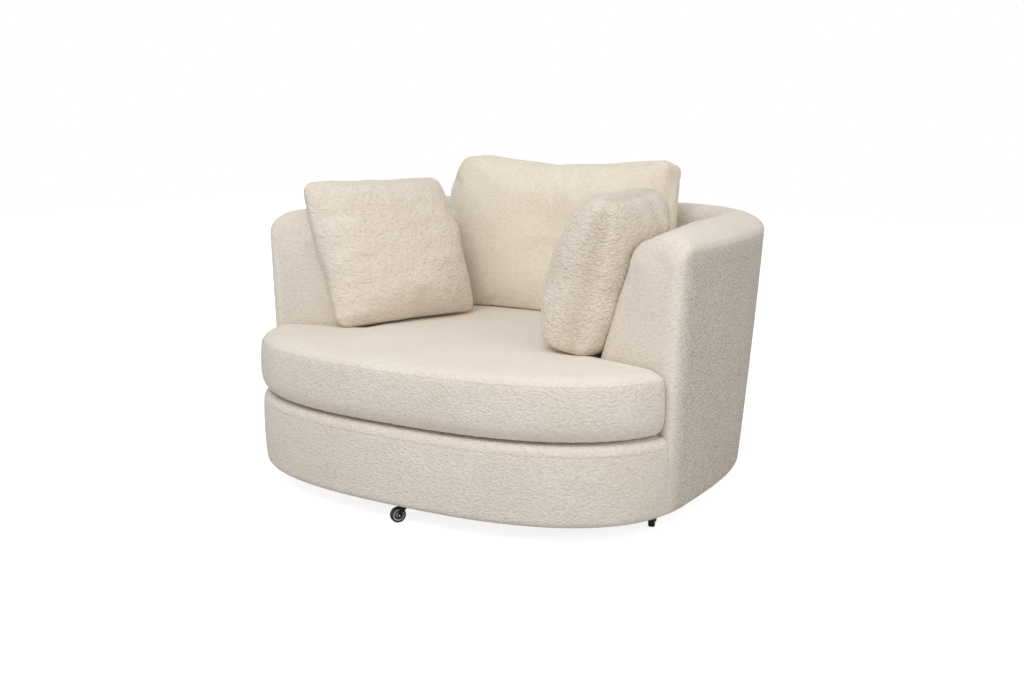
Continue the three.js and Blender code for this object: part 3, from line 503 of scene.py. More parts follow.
def makePiece(name, points, faces, finish, smooth=True):
    # points: (n, 3) array; faces: arrays of corner numbers
    mesh = bpy.data.meshes.new(name)
    places = np.asarray(points, float).reshape(-1, 3).tolist()
    mesh.from_pydata(places, [], [list(map(int, face)) for face in faces])
    mesh.validate()
    mesh.update()
    mesh.polygons.foreach_set("use_smooth", [smooth] * len(mesh.polygons))
    mesh.materials.append(finish)
    piece = bpy.data.objects.new(name, mesh)
    scene.collection.objects.link(piece)
    return piece


def setWeights(piece, name, values):
    # one number for each point, which the finishes read
    weights = piece.data.attributes.new(name, "FLOAT", "POINT")
    weights.data.foreach_set("value", np.asarray(values, float).ravel())


def thicken(piece, thickness):
    # gives a cover the thickness of its cloth, inwards
    shell = piece.modifiers.new("thickness", "SOLIDIFY")
    shell.thickness = thickness
    shell.offset = -1


def soften(piece):
    smooth = piece.modifiers.new("smooth", "SUBSURF")
    smooth.levels = smooth.render_levels = 1


def ripple(points, size, seed, octaves=3):
    # smooth random height: a sum of sine waves in random directions, each octave half the size and strength
    random = np.random.default_rng(seed)
    total = np.zeros(points.shape[:-1])
    for octave in range(octaves):
        for _ in range(7):
            way = random.normal(size=3)
            way *= 2 * math.pi / (size * 0.5 ** octave) / np.linalg.norm(way)
            total += 0.5 ** octave * np.sin(points @ way + random.uniform(0, 2 * math.pi))
    return total / 7


# upholstered body

upholstery = {
    "edgeColumns": 18, "wallColumns": 90,
    "topRows": 7, "shoulderRows": 9, "wallRows": 19, "lowRows": 9, "hemRows": 6, "sideRows": 14,
    "filmSteps": 20, "filmTurns": 900,    # of the arms' front faces
    "wrap": 0.026,           # cloth turned in under the base
    "wrapRise": (0.0012, 0.0006),
    "hem": 0.015,
    "puff": (0.0025, 0.8),   # swell of the outside between hem and seam: a half sine wave to a power
    "wallSwell": 0.004,      # swell of the well's upper wall
    "topSwell": 0.003,
    "faceSwell": 0.004,
    "ripple": 0.0009,
    "rippleSize": {"inside": 0.22, "outside": 0.26, "front": 0.20},
    "thickness": 0.0032,
    # the outside's top edge: metres in from the outside and below the rim
    "crest": ((0, -0.040), (0.0003, -0.036), (0.001, -0.032), (0.003, -0.027), (0.007, -0.022),
              (0.013, -0.017), (0.023, -0.011), (0.037, -0.006), (0.054, -0.0022), (0.074, 0)),
    "crestGap": 0.012,       # least flat width left on top of the wall
    "overlap": 0.004,        # how far the well's cover runs down below the deck
    "knee": 0.14,            # share of the arm's front edge that belongs to the top
    # the outside's front edge is rounded above the deck only: from where, how fast, and the share below
    "edgeFrom": 0.200, "edgeEase": 0.036, "edgeLeast": 0.14,
    # nap on the outer side, which deepens the nubs and the painted shade between them
    "sideNapAndShade": 2.5,
    "napFrom": 0.01,         # metres behind the arm's front
    "napTop": (0.64, 0.69),  # heights between which the nap fades out
    "frontEase": 0.05,       # metres behind the arm's front over which swell, nap and shade ease in or out
    "faceShade": 0.22,       # painted shade: how much darker the arms' front faces are painted
}
frontEdge = {
    "columns": 42, "rows": 18, "rollRows": 10,
    # the columns are even up to the first of these shares of the way to the arm, and close up past it
    "close": (0.975, 0.983, 0.9895, 0.9935, 0.9965, 0.9987, 1),
    "gap": 0.0006,                          # between the front cover's end and the arm
    "roll": (0.024, 0.020, 0.018),          # crease below the deck, height and depth of the roll over it
    "rollFrom": 0.12,                       # angle where the roll leaves the crease
    "crease": (0.0007, 0.0022, 0.15),       # depth, half height, and darkness of the painted shade in the crease
    "swell": 0.003,
    "rippled": (0.06, 0.236),               # heights between which the front is uneven
    # behind the roll: metres in from the front and above the roll's top
    "behind": ((0.024, 0.0004), (0.030, 0.0022), (0.037, 0.0040), (0.060, 0.0048), (0.061, 0.0040)),
    "endRound": 0.0035,                     # rounded upright ends, and how far they run back into the joint
    "endReturn": (0.003, 0.010, 0.022, 0.036),
    # nap on the front cover, which deepens the nubs and the painted shade between them
    "napAndShade": 0.35,
}
stations = makeStations(upholstery["edgeColumns"], upholstery["wallColumns"])
inward, wall = inwardAt(stations)


def wallPoint(z, inset, at):
    # points at the outside (atOuter) or the well (atWell) of every station, moved into the wall by the inset
    way = inward if at is atOuter else -inward
    return np.concatenate([at(stations, z[:, None])[:, 0] + way * inset[:, None], z[:, None]], 1)


def insideRows():
    # each row runs from the seam on the outside over the rim and down into the well
    behind = stations["behind"]
    top = body["rim"] - roundedInset(behind, body["armTopFront"])
    wellInset = roundedInset(behind, body["armInnerFront"])
    frontInset = roundedInset(behind, body["armOuterFront"])
    innerR = body["innerShoulder"]
    crest = upholstery["crest"]
    reach, low = crest[-1][0], crest[0][1]
    narrow = np.minimum(1, (wall - upholstery["crestGap"]) / (reach + innerR))
    columns = []
    for inset, drop in crest:
        point = wallPoint(top + low, inset * narrow + frontInset * (1 - inset / reach) ** 2, atOuter)
        point[:, 2] = top + drop
        columns.append(point)
    outside = columns[-1]
    innerTop = top - np.interp(behind, *np.array(body["innerDrop"]).T)
    upper = innerTop - innerR
    inner = wallPoint(upper, wellInset + innerR * narrow, atWell)
    inner[:, 2] = innerTop
    for share in np.linspace(0, 1, upholstery["topRows"])[1:-1]:
        point = outside + (inner - outside) * share
        point[:, 2] += upholstery["topSwell"] * math.sin(math.pi * share)
        columns.append(point)
    for turn in np.linspace(math.pi / 2, 0, upholstery["shoulderRows"]):
        point = wallPoint(upper, wellInset + innerR * narrow * (1 - math.cos(turn)), atWell)
        point[:, 2] = upper + innerR * math.sin(turn)
        columns.append(point)
    turned = len(columns)
    for share in np.linspace(0, 1, upholstery["wallRows"])[1:]:
        swell = upholstery["wallSwell"] * math.sin(math.pi * share)
        columns.append(wallPoint(upper + (body["wellBend"] - upper) * share, wellInset - swell, atWell))
    drop = body["deck"] - upholstery["overlap"] - body["wellBend"]
    for share in np.linspace(0, 1, upholstery["lowRows"])[1:]:
        columns.append(wallPoint(np.full(len(top), body["wellBend"] + drop * share), wellInset, atWell))
    return np.stack(columns, 1), turned


def endHeights(column, turned):
    # heights along an arm's upright front edge, one for each point of the row beside it
    seamZ, bottom, wallZ = column[0, 2], column[-1, 2], column[turned:, 2]
    kneeZ = seamZ - (seamZ - bottom) * upholstery["knee"]
    return np.concatenate([
        np.linspace(seamZ, kneeZ, turned, endpoint=False),
        bottom + (wallZ - bottom) / (wallZ[0] - bottom) * (kneeZ - bottom),
    ])


def armFaces(rows, turned):
    # the arms' front faces: films stretched from the upright outer edge to the first row, a little swollen
    faces = []
    steps = upholstery["filmSteps"]
    for end in (0, rows.shape[0] - 1):
        column = rows[end]
        edgeZ = endHeights(column, turned)
        one = {key: values[end:end + 1] for key, values in stations.items()}
        flat = atOuter(one, edgeZ[None, :])[0] + inward[end] * body["armOuterFront"]
        edge = np.concatenate([flat, edgeZ[:, None]], 1)
        normal = np.array([-inward[end, 1], inward[end, 0], 0])
        normal *= -np.sign(normal[1])
        film = edge + (column - edge) * np.linspace(0, 1, steps + 1)[:, None, None]
        push = upholstery["faceSwell"] * 8 / steps ** 2 * normal
        for _ in range(upholstery["filmTurns"]):
            around = film[:-2, 1:-1] + film[2:, 1:-1] + film[1:-1, :-2] + film[1:-1, 2:]
            film[1:-1, 1:-1] = around / 4 + push / 4
        faces.append(film[:-1])
    return faces


def hemCurve():
    # insets and heights of the cloth's turn under the base
    hem, wrap = upholstery["hem"], upholstery["wrap"]
    turns = np.linspace(math.pi / 2, 0, upholstery["hemRows"])
    return (np.concatenate([[wrap, wrap * 0.6], hem * (1 - np.cos(turns))]),
            body["skirt"] + np.concatenate([upholstery["wrapRise"], hem * (1 - np.sin(turns))]))


def outsideRows(rows, turned):
    # each row rises from the hem under the base to the seam, level with the arm's front edge above the deck
    lowInset, lowZ = hemCurve()
    edgeZ = endHeights(rows[0], turned)[::-1]
    seam, low = rows[:, 0, 2], edgeZ[0]
    share = (edgeZ - low) / (edgeZ[-1] - low)
    hemZ = body["skirt"] + upholstery["hem"]
    fixed = np.concatenate([lowZ, np.linspace(hemZ, low, upholstery["sideRows"])[1:-1]])
    lower = np.broadcast_to(fixed, (len(seam), len(fixed)))
    height = np.concatenate([lower, low + share * (seam[:, None] - low)], 1)
    along = np.clip((height[0] - hemZ) / (height[0, -1] - hemZ), 0, 1)
    behind = stations["behind"]
    ease = np.clip(behind / upholstery["frontEase"], 0, 1)[:, None]
    inset = np.concatenate([lowInset, np.zeros(height.shape[1] - len(lowInset))])[None, :]
    free = easeIn(height, upholstery["edgeFrom"], upholstery["edgeFrom"] + upholstery["edgeEase"])
    free = upholstery["edgeLeast"] + (1 - upholstery["edgeLeast"]) * free
    inset = inset + roundedInset(behind, body["armOuterFront"])[:, None] * free
    puff, power = upholstery["puff"]
    inset = inset - puff * ease * np.sin(math.pi * along) ** power
    points = np.concatenate([atOuter(stations, height), height[..., None]], -1)
    wobble = ripple(points, upholstery["rippleSize"]["outside"], 5) * upholstery["ripple"]
    inset = inset - wobble * ease * np.sin(math.pi * along)
    points[..., :2] += inward[:, None, :] * inset[..., None]
    return points


def welded(grids):
    # joins grids whose borders meet: points within a hundredth of a millimetre become one; came tells each
    # point's number before the joining
    points = np.concatenate([grid.reshape(-1, 3) for grid in grids])
    offset, faces = 0, []
    for grid in grids:
        faces.append(gridFaces(grid) + offset)
        offset += grid.shape[0] * grid.shape[1]
    near = np.round(points / 1e-5).astype(np.int64)
    _, came, number = np.unique(near, axis=0, return_index=True, return_inverse=True)
    faces = number.reshape(-1)[np.concatenate(faces)]
    tidy = [list(dict.fromkeys(face.tolist())) for face in faces]
    return points[came], [face for face in tidy if len(face) > 2], came


def bodyCover():
    # one cover: the outside's rows, and the inside's rows between the two arms' front faces
    rows, turned = insideRows()
    ends = armFaces(rows, turned)
    inside = np.concatenate([ends[0], rows, ends[1][::-1]])
    wobble = ripple(inside, upholstery["rippleSize"]["inside"], 8) * upholstery["ripple"]
    inside[1:-1, 3:, 2] += wobble[1:-1, 3:]
    outside = outsideRows(rows, turned)
    points, faces, came = welded([outside, inside])
    piece = makePiece("bodyCover", points, faces, finishes["boucle"])
    # the nap stands up most on the outside, and less towards the rim and the arms' front edges; the painted
    # shade between the nubs follows it, strongest on the outer side
    behind = stations["behind"]
    ease = np.clip((behind - upholstery["napFrom"]) / upholstery["frontEase"], 0, 1)
    napAndShade = np.concatenate([np.repeat(ease, outside.shape[1]), np.zeros(inside.size // 3)])[came]
    fadeFrom, fadeTo = upholstery["napTop"]
    below = np.clip((fadeTo - points[:, 2]) / (fadeTo - fadeFrom), 0, 1)
    setWeights(piece, "napAndShade", napAndShade * below * upholstery["sideNapAndShade"])
    # painted shade covers the arms' front faces and fades out behind them
    fade = easeIn(-behind, -upholstery["frontEase"], 0)
    shade = np.concatenate([np.ones(len(ends[0])), fade, np.ones(len(ends[1]))])
    shade = np.concatenate([np.zeros(outside.size // 3), np.repeat(shade, inside.shape[1])])[came]
    setWeights(piece, "seam", shade * upholstery["faceShade"])
    thicken(piece, upholstery["thickness"])
    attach(piece, "chair")
    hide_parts("outside_panel", "inside_panel", "rim_foam")


def frontCover():
    # columns cross the front; rows rise from the hem, roll over the top edge and run back under the seat
    end = angleAtDepth(body["armFrontOuter"] + frontEdge["gap"])
    close = frontEdge["close"]
    run = np.concatenate([np.linspace(0, close[0], frontEdge["columns"]), close[1:]])
    angles, length = evenAngles(lambda a: outerPlan(a, body["skirt"]), -math.pi / 2, end, run)
    ended = roundedInset((1 - run) * length, frontEdge["endRound"])
    angle = np.concatenate([angles[::-1], angles[1:]])
    side = np.concatenate([-np.ones(len(angles)), np.ones(len(angles) - 1)])
    low, tall, deep = frontEdge["roll"]
    dip, half, paintedShade = frontEdge["crease"]
    creaseZ = body["deck"] - low
    hemInset, hemZ = hemCurve()
    share = np.linspace(0, 1, frontEdge["rows"])[1:-1]
    turns = np.linspace(frontEdge["rollFrom"], math.pi / 2, frontEdge["rollRows"])
    behind, rise = np.array(frontEdge["behind"]).T
    insets = np.concatenate([hemInset, -frontEdge["swell"] * np.sin(math.pi * share),
                             dip * np.array([0.25, 1, 0.25]), deep * (1 - np.cos(turns)), behind])
    heights = np.concatenate([hemZ, hemZ[-1] + (creaseZ - hemZ[-1]) * share,
                              creaseZ + half * np.array([-1, 0, 1]),
                              creaseZ + tall * np.sin(turns), creaseZ + tall + rise])
    before, flat, after = (outerPlan(angle[:, None] + turn, heights[None, :]) for turn in (-0.001, 0, 0.001))
    step = (after - before) / np.linalg.norm(after - before, axis=-1, keepdims=True)
    rounding = np.concatenate([ended[::-1], ended[1:]])[:, None]
    flat = flat + np.stack([-step[..., 1], step[..., 0]], -1) * (insets + rounding)[..., None]
    flat[..., 0] *= side[:, None]
    grid = np.concatenate([flat, np.broadcast_to(heights, flat.shape[:2])[..., None]], -1)
    left, right = (np.stack([grid[place] + [*inward[number] * reach, 0] for reach in frontEdge["endReturn"]])
                   for place, number in ((0, -1), (-1, 0)))
    grid = np.concatenate([left[::-1], grid, right])
    wobble = ripple(grid, upholstery["rippleSize"]["front"], 11) * upholstery["ripple"]
    bottom, top = frontEdge["rippled"]
    grid[..., 1] += wobble * np.where((heights > bottom) & (heights < top), 1, 0)
    piece = makePiece("frontCover", grid, gridFaces(grid), finishes["boucle"])
    # painted shade in the crease under the roll
    seamShade = np.exp(-((heights - creaseZ) / half) ** 2)
    setWeights(piece, "seam", np.broadcast_to(paintedShade * seamShade, grid.shape[:2]))
    setWeights(piece, "napAndShade", np.full(grid.shape[:2], frontEdge["napAndShade"]))
    thicken(piece, upholstery["thickness"])
    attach(piece, "chair")
    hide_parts("front_panel")


bodyCover()
frontCover()
print("body covers are ready")


# zips

zipper = {
    "half": 0.0045, "step": 0.0016, "stand": 0.0004, "teeth": (0.0013, 0.0019), "edge": 0.0007,
    "row": (0.3, 0.28),      # half the width of the row of teeth at its foot and top, as shares of the tape's
    "tab": (6, 1.4),         # steps along the tape, and its height as a multiple of the higher teeth
}


def zipStrip(name, path, outward, rider, node):
    # a tape laid along a path of points with a row of teeth along its middle and a tab at its end
    lengths = lengthsAlong(path)
    at = np.arange(0, lengths[-1], zipper["step"])
    path, outward = pointsAt(at, lengths, path), pointsAt(at, lengths, outward)
    outward /= np.linalg.norm(outward, axis=1, keepdims=True)
    across = np.cross(np.gradient(path, axis=0), outward)
    across /= np.linalg.norm(across, axis=1, keepdims=True)
    high = np.where(np.arange(len(at)) % 2, *zipper["teeth"])
    tab, tall = zipper["tab"]
    high[:tab] = zipper["teeth"][1] * tall
    foot, top = zipper["row"]
    tape, under = zipper["stand"], zipper["stand"] - zipper["edge"]
    rings = []
    for side, height in ((-1, under), (-1, tape), (-foot, tape), (-top, high),
                         (top, high), (foot, tape), (1, tape), (1, under)):
        lift = outward * np.broadcast_to(height, len(at))[:, None]
        rings.append(path + across * side * zipper["half"] + lift)
    piece = makePiece(name, *ringSurface(np.stack(rings, 1)), finishes["zip_tape"], False)
    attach(piece, rider)
    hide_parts(node)


# seat cushion

seat = {
    "low": 0.2440, "high": 0.3775,
    "wellGap": 0.004, "earGap": 0.006,
    "crown": 0.021, "shoulder": 0.0165,
    "crownShape": (9, 0.75),      # the loose cushions see the crown as (1 - share of the well ^ 9) ^ 0.75
    "corner": (0.016, 30),        # spread of the moving mean that rounds the corners, and its reach in points
    "centre": (0.0, -0.262),
    "loopPoints": 520, "frontSteps": 4000, "wellSteps": 3000,
    # height above the lower seam, reach beyond the base's front, reach towards the well, all in mm
    "band": ((0, -30, -5), (0.8, -22, -3.5), (3, -14, -2), (7, -7.5, -0.5), (12, -1.5, 0.5), (20, 4.8, 1),
             (32, 9.8, 1.5), (47, 12.6, 1.5), (65, 13.2, 1.5), (83, 13, 1.5), (97, 12.4, 1.3), (109, 11.4, 1),
             (119, 10.4, 0.4), (126, 9.4, -0.4), (130, 8.3, -1.6), (132.5, 7.0, -2.6), (133.5, 6.2, -3.2)),
    # shares of the seam's reach at which the rings of the lower and the upper panel lie
    "under": (0.1, 0.25, 0.5, 0.7, 0.85, 0.94, 0.985),
    "over": (0.9965, 0.992, 0.985, 0.975, 0.96, 0.94, 0.91, 0.87, 0.82, 0.75, 0.66, 0.55, 0.42, 0.28, 0.14,
             0.04),
    "frontEase": (0.03, 0.08),    # metres in front of the arms where the front's shape begins, and its ease
    "puckers": 83, "puckerDepth": 0.0009, "puckerReach": 6,
    "seam": (0.75, 1.2),          # darkness of the painted shade along the seams, and its reach in mm
    "middleRise": 0.002,
    "topEase": 0.012,             # metres above the upper seam over which the top's ripple and nap begin
    "bandFrom": (0.25, 0.02),     # height where the band's begin, and their ease
    "topRipple": (0.42, 0.0022), "bandRipple": (0.18, 0.0016),    # size and depth
    "napAndShade": (0.35, -0.55),         # on the band and on top; less nap on top flattens the nubs and eases their painted shade
    "zipPoints": 68,
}


def seatLoop():
    # right half: front curve from the middle to the arm, along the arm's front, round the well to the back
    slope = (body["armFrontOuter"] - body["armFrontInner"]) / (body["halfWidth"] - body["wellHalfWidth"])
    arm = -body["armFrontInner"] - body["middleY"] - seat["earGap"]
    ahead = lambda x: arm - slope * (x - body["wellHalfWidth"])
    angles = np.linspace(-math.pi / 2, 0, seat["frontSteps"])
    front = planCurve(angles, body["halfWidth"], body["front"], body["frontPower"], 1, 2)
    cornerX = body["wellHalfWidth"] - seat["wellGap"]
    angles = np.linspace(0, math.pi / 2, seat["wellSteps"])
    well = planCurve(angles, cornerX, 1, 2, body["wellBack"] - seat["wellGap"], body["wellPower"])
    right = np.concatenate([front[front[:, 1] < ahead(front[:, 0])], [[cornerX, ahead(cornerX)]], well])
    left = right[::-1] * [-1, 1]
    closed = np.concatenate([right, left[1:-1], right[:1]])
    lengths = lengthsAlong(closed)
    loop = pointsAt(np.linspace(0, lengths[-1], seat["loopPoints"], endpoint=False), lengths, closed)
    # the corners are rounded by a moving mean along the loop
    spread, far = seat["corner"]
    reach = np.arange(-far, far + 1)
    weights = np.exp(-0.5 * (reach * lengths[-1] / seat["loopPoints"] / spread) ** 2)
    return sum(w * np.roll(loop, r, axis=0) for w, r in zip(weights / weights.sum(), reach))


def seatCushion():
    # rings round the band from the lower seam to the upper seam, then rings that shrink to the middle as the
    # crown rises; the band bulges most in front
    loop = seatLoop()
    step = np.roll(loop, -1, 0) - np.roll(loop, 1, 0)
    step /= np.linalg.norm(step, axis=1, keepdims=True)
    outward = np.stack([step[:, 1], -step[:, 0]], -1)
    begins, ease = seat["frontEase"]
    infront = easeIn(-body["armFrontInner"] - body["middleY"] - begins - loop[:, 1], 0, ease)
    centre = np.array(seat["centre"])
    count = len(loop)
    waves = np.sin(np.arange(count) * 2 * math.pi * seat["puckers"] / count)
    pucker = seat["puckerDepth"] * waves * infront
    rings, seamShade = [], []
    mm = 0.001

    def addRing(flat, z, seam=0.0):
        rings.append(np.concatenate([flat, np.full((count, 1), z)], 1))
        seamShade.append(seam * infront)

    band = np.array(seat["band"])
    lowest = loop + outward * (band[0, 1] * infront + band[0, 2] * (1 - infront))[:, None] * mm
    for share in seat["under"]:
        addRing(centre + (lowest - centre) * share, seat["low"] - mm)
    paintedShade, seamReach = seat["seam"]
    for rise, front, well in band:
        reach = mm * (front * infront + well * (1 - infront))
        edge = min(rise, band[-1, 0] - rise)
        flat = loop + outward * (reach + pucker * math.exp(-(edge / seat["puckerReach"]) ** 2))[:, None]
        addRing(flat, seat["low"] + mm * rise, paintedShade * math.exp(-(edge / seamReach) ** 2))
    upper = rings[-1][:, :2]
    reach = np.linalg.norm(upper - centre, axis=1)
    for share in seat["over"]:
        addRing(centre + (upper - centre) * share, seat["high"])
        # the crown rises within a few centimetres of the seam
        rings[-1][:, 2] += seat["crown"] * (1 - np.exp(-reach * (1 - share) / seat["shoulder"]))
        rings[-1][:, 2] += seat["middleRise"] * (1 - share ** 2)
    grid = np.stack(rings)
    top = np.clip((grid[..., 2] - seat["high"]) / seat["topEase"], 0, 1)
    size, depth = seat["topRipple"]
    grid[..., 2] += ripple(grid * [1, 1, 0], size, 21, 2) * depth * top
    start, ease = seat["bandFrom"]
    side = np.clip((grid[..., 2] - start) / ease, 0, 1) * (1 - top) * infront[None, :]
    size, depth = seat["bandRipple"]
    push = ripple(grid, size, 22) * depth * side
    grid[..., :2] += outward[None] * push[..., None]
    piece = makePiece("seatCushion", *ringSurface(grid), finishes["boucle"])
    # painted shade along the upper and lower seams
    setWeights(piece, "seam", np.concatenate([*seamShade, [0, 0]]))
    napSide, napTop = seat["napAndShade"]
    setWeights(piece, "napAndShade", np.concatenate([(napSide * side + napTop * top).ravel(), [0, napTop]]))
    half = len(seat["under"]) + len(band) // 2
    back = np.argsort(np.abs(loop[:, 0]) + (loop[:, 1] < 0) * 9)[:seat["zipPoints"]]
    back = back[np.argsort(loop[back, 0])]
    away = np.concatenate([outward[back], np.zeros((len(back), 1))], 1)
    zipStrip("seatZip", grid[half, back], away, "seat_cushion", "seat_cushion_zip")
    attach(piece, "seat_cushion")
    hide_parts("seat_cushion_cover", "seat_cushion_core")


seatCushion()
print("seat cushion is ready")


# loose cushions

cushionGap = {
    "share": 0.991,            # most of the well's size that a loose cushion fills
    "above": 0.018,            # metres above the rim where a cushion begins to be free of the wall
    "front": (-0.012, 0.030),  # metres behind the arm's front over which the wall takes hold
    "backFrom": 0.3,           # metres behind the middle of the plan, past which depths are drawn in too
    "seat": 0.001, "seatEase": 0.010, "seatReach": 0.08,
}
scatter = {
    "panelWidth": 0.470, "panelHeight": 0.424, "step": 0.010, "start": 0.030, "rounding": (0.07, 9),
    "bow": 0.045,
    "pressure": 2.6, "frames": 14, "bending": 0.15,
    "wave": 0.003, "cornerHold": 0.16,    # waves of the sides, and the share of a side that stays at a corner
    "crumpleSize": 0.085, "crumpleStretch": (0.7, 1.5, 1),
    # seam: darkness of the painted shade along the rim's seam
    "seamDip": 0.0045, "seam": 0.6, "seamEase": 0.03,
    # folds beside the seam nearest to the front
    "gatherReach": 0.075, "gatherSize": 0.075, "gatherStretch": (0.3, 1, 0.3),
    "free": 0.060,
    "zip": (0.25, 0.65),       # shares of the width where the zip starts and stops
    "left": {"width": 0.466, "height": 0.422, "front": 0.094, "back": 0.052, "sag": 0.2, "seed": 3,
             "skew": -0.030, "fullFront": (0.74, 0.74), "fullBack": (0.80, 0.80),
             "crumple": 0.0034, "gather": 0.014, "napAndShade": 0.15,
             "x": -0.302, "y": 0.084, "rise": 0.013, "yaw": 69, "lean": 19.5},
    "right": {"width": 0.456, "height": 0.406, "front": 0.150, "back": 0.100, "sag": 0.30, "seed": 4,
              "skew": 0, "fullFront": (0.34, 0.47), "fullBack": (0.66, 0.56),
              "crumple": 0.0046, "gather": 0.005, "napAndShade": 0.6,
              "x": 0.293, "y": 0.120, "rise": 0.004, "yaw": -80, "lean": 12.5},
}
backPad = {
    "width": 0.664, "height": 0.487, "front": 0.086, "back": 0.086,
    "panelWidth": 0.640, "panelHeight": 0.452, "panelDepth": 0.124, "step": 0.0115, "power": 16, "seed": 6,
    "pressure": 2.4, "frames": 14, "bending": 0.4, "dip": 0.029, "taper": 0.10,
    "corner": (0.021, 0.022),    # how far the top corners are drawn up and out
    # share of the height, and how far the left and the right side reach out there, in metres
    "flare": ((0, 0, 0), (0.3, 0.045, 0.010), (0.6, 0.078, 0.018), (0.75, 0.080, 0.015), (0.87, 0.051, 0.008),
              (1, 0.012, 0.012)),
    "zipColumns": (4, 24),
    "free": 0.010,
    "x": -0.030, "y": 0.390, "rise": 0.002, "lean": 9.5, "ahead": 0.066,
}


cloth = {
    "mass": 0.15, "tension": 18, "shear": 8, "damping": 2, "quality": 5,
    "unevenness": 0.0003, "panelUnevenness": 0.0004,    # metres, so that it wrinkles like cloth
}


def sewnPanels(width, height, step, start, rounding, bow, seed):
    # two panels that share their rim, set slightly apart: each is a grid whose corners are drawn in by a
    # power of |x y|, and whose sides are bowed out by 1 - x^2 and 1 - y^2
    nx, ny = int(width / step) + 1, int(height / step) + 1
    x, y = np.meshgrid(np.linspace(-1, 1, nx), np.linspace(-1, 1, ny), indexing="ij")
    draw = 1 - rounding[0] * np.abs(x * y) ** rounding[1]
    px = x * (draw + bow * (1 - y * y)) * width / 2
    py = y * (draw + bow * (1 - x * x)) * height / 2 + height / 2
    away = np.clip((1 - x ** 4) * (1 - y ** 4), 0, 1)
    random = np.random.default_rng(seed)
    pz = start * np.sqrt(away) + cloth["panelUnevenness"] * random.standard_normal(x.shape) * (away > 0.001)
    inner = np.zeros((nx, ny), bool)
    inner[1:-1, 1:-1] = True
    front = np.arange(nx * ny).reshape(nx, ny)
    back = front.copy()
    back[inner] = nx * ny + np.arange(inner.sum())
    points = np.concatenate([np.stack([px, py, pz], -1).reshape(-1, 3), np.stack([px, py, -pz], -1)[inner]])
    return points, np.concatenate([quads(front), quads(back)[:, ::-1]]), front, back


def boxedRings(width, height, depth, step, corner, seed):
    # a boxed cushion: a rounded outline swept through the band, closed by two panels of shrinking rings;
    # the second value is the number of the ring half way up the band
    count = int(2 * (width + height) / step)
    dense = np.linspace(0, 2 * math.pi, 8000) - math.pi / 2
    across, along = np.cos(dense), np.sin(dense)
    curve = np.stack([width / 2 * np.sign(across) * np.abs(across) ** (2 / corner),
                      height / 2 * np.sign(along) * np.abs(along) ** (2 / corner)], -1)
    lengths = lengthsAlong(curve)
    centre = np.array([0, height / 2])
    loop = pointsAt(np.linspace(0, lengths[-1], count, endpoint=False), lengths, curve) + centre
    shares = np.linspace(0, 1, int(min(width, height) / 2 / step) + 1)[1:]
    bands = int(depth / step) + 1
    flat = [(share, -0.5) for share in shares[:-1]] + [(1, place - 0.5) for place in np.linspace(0, 1, bands)]
    flat += [(share, 0.5) for share in shares[:-1][::-1]]
    rings = np.stack([np.concatenate([centre + (loop - centre) * share, np.full((count, 1), depth * place)],
                                     axis=1) for share, place in flat])
    rings += cloth["unevenness"] * np.random.default_rng(seed).standard_normal(rings.shape)
    return rings, (2 * len(shares) + bands - 3) // 2


def inflate(points, faces, pressure, frames, bending):
    # blows a closed mesh up as cloth and gives its points back
    mesh = bpy.data.meshes.new("blown")
    mesh.from_pydata(points.tolist(), [], [list(map(int, f)) for f in faces])
    mesh.update()
    pad = bpy.data.objects.new("blown", mesh)
    scene.collection.objects.link(pad)
    blown = pad.modifiers.new("cloth", "CLOTH")
    settings = blown.settings
    settings.quality = cloth["quality"]
    settings.mass = cloth["mass"]
    settings.air_damping = cloth["damping"]
    settings.tension_stiffness = settings.compression_stiffness = cloth["tension"]
    settings.shear_stiffness = cloth["shear"]
    settings.bending_stiffness = bending
    settings.use_pressure = True
    settings.uniform_pressure_force = pressure
    settings.effector_weights.gravity = 0
    blown.collision_settings.use_collision = False
    blown.point_cache.frame_start = 1
    blown.point_cache.frame_end = frames
    for number in range(1, frames + 1):
        scene.frame_set(number)
    done = pad.evaluated_get(bpy.context.evaluated_depsgraph_get())
    moved = np.empty(len(points) * 3)
    done.data.vertices.foreach_get("co", moved)
    bpy.data.objects.remove(pad)
    bpy.data.meshes.remove(mesh)
    scene.frame_set(1)
    return moved.reshape(-1, 3)


def fitted(points, width, height, front, back):
    # brings a blown cushion to its size: z runs from its seam plane to the given front and back depths
    low, high = points.min(0), points.max(0)
    points = points - [(low[0] + high[0]) / 2, low[1], (low[2] + high[2]) / 2]
    points[:, :2] *= [width, height] / (high - low)[:2]
    points[:, 2] *= np.where(points[:, 2] > 0, front, back) / ((high[2] - low[2]) / 2)
    return points


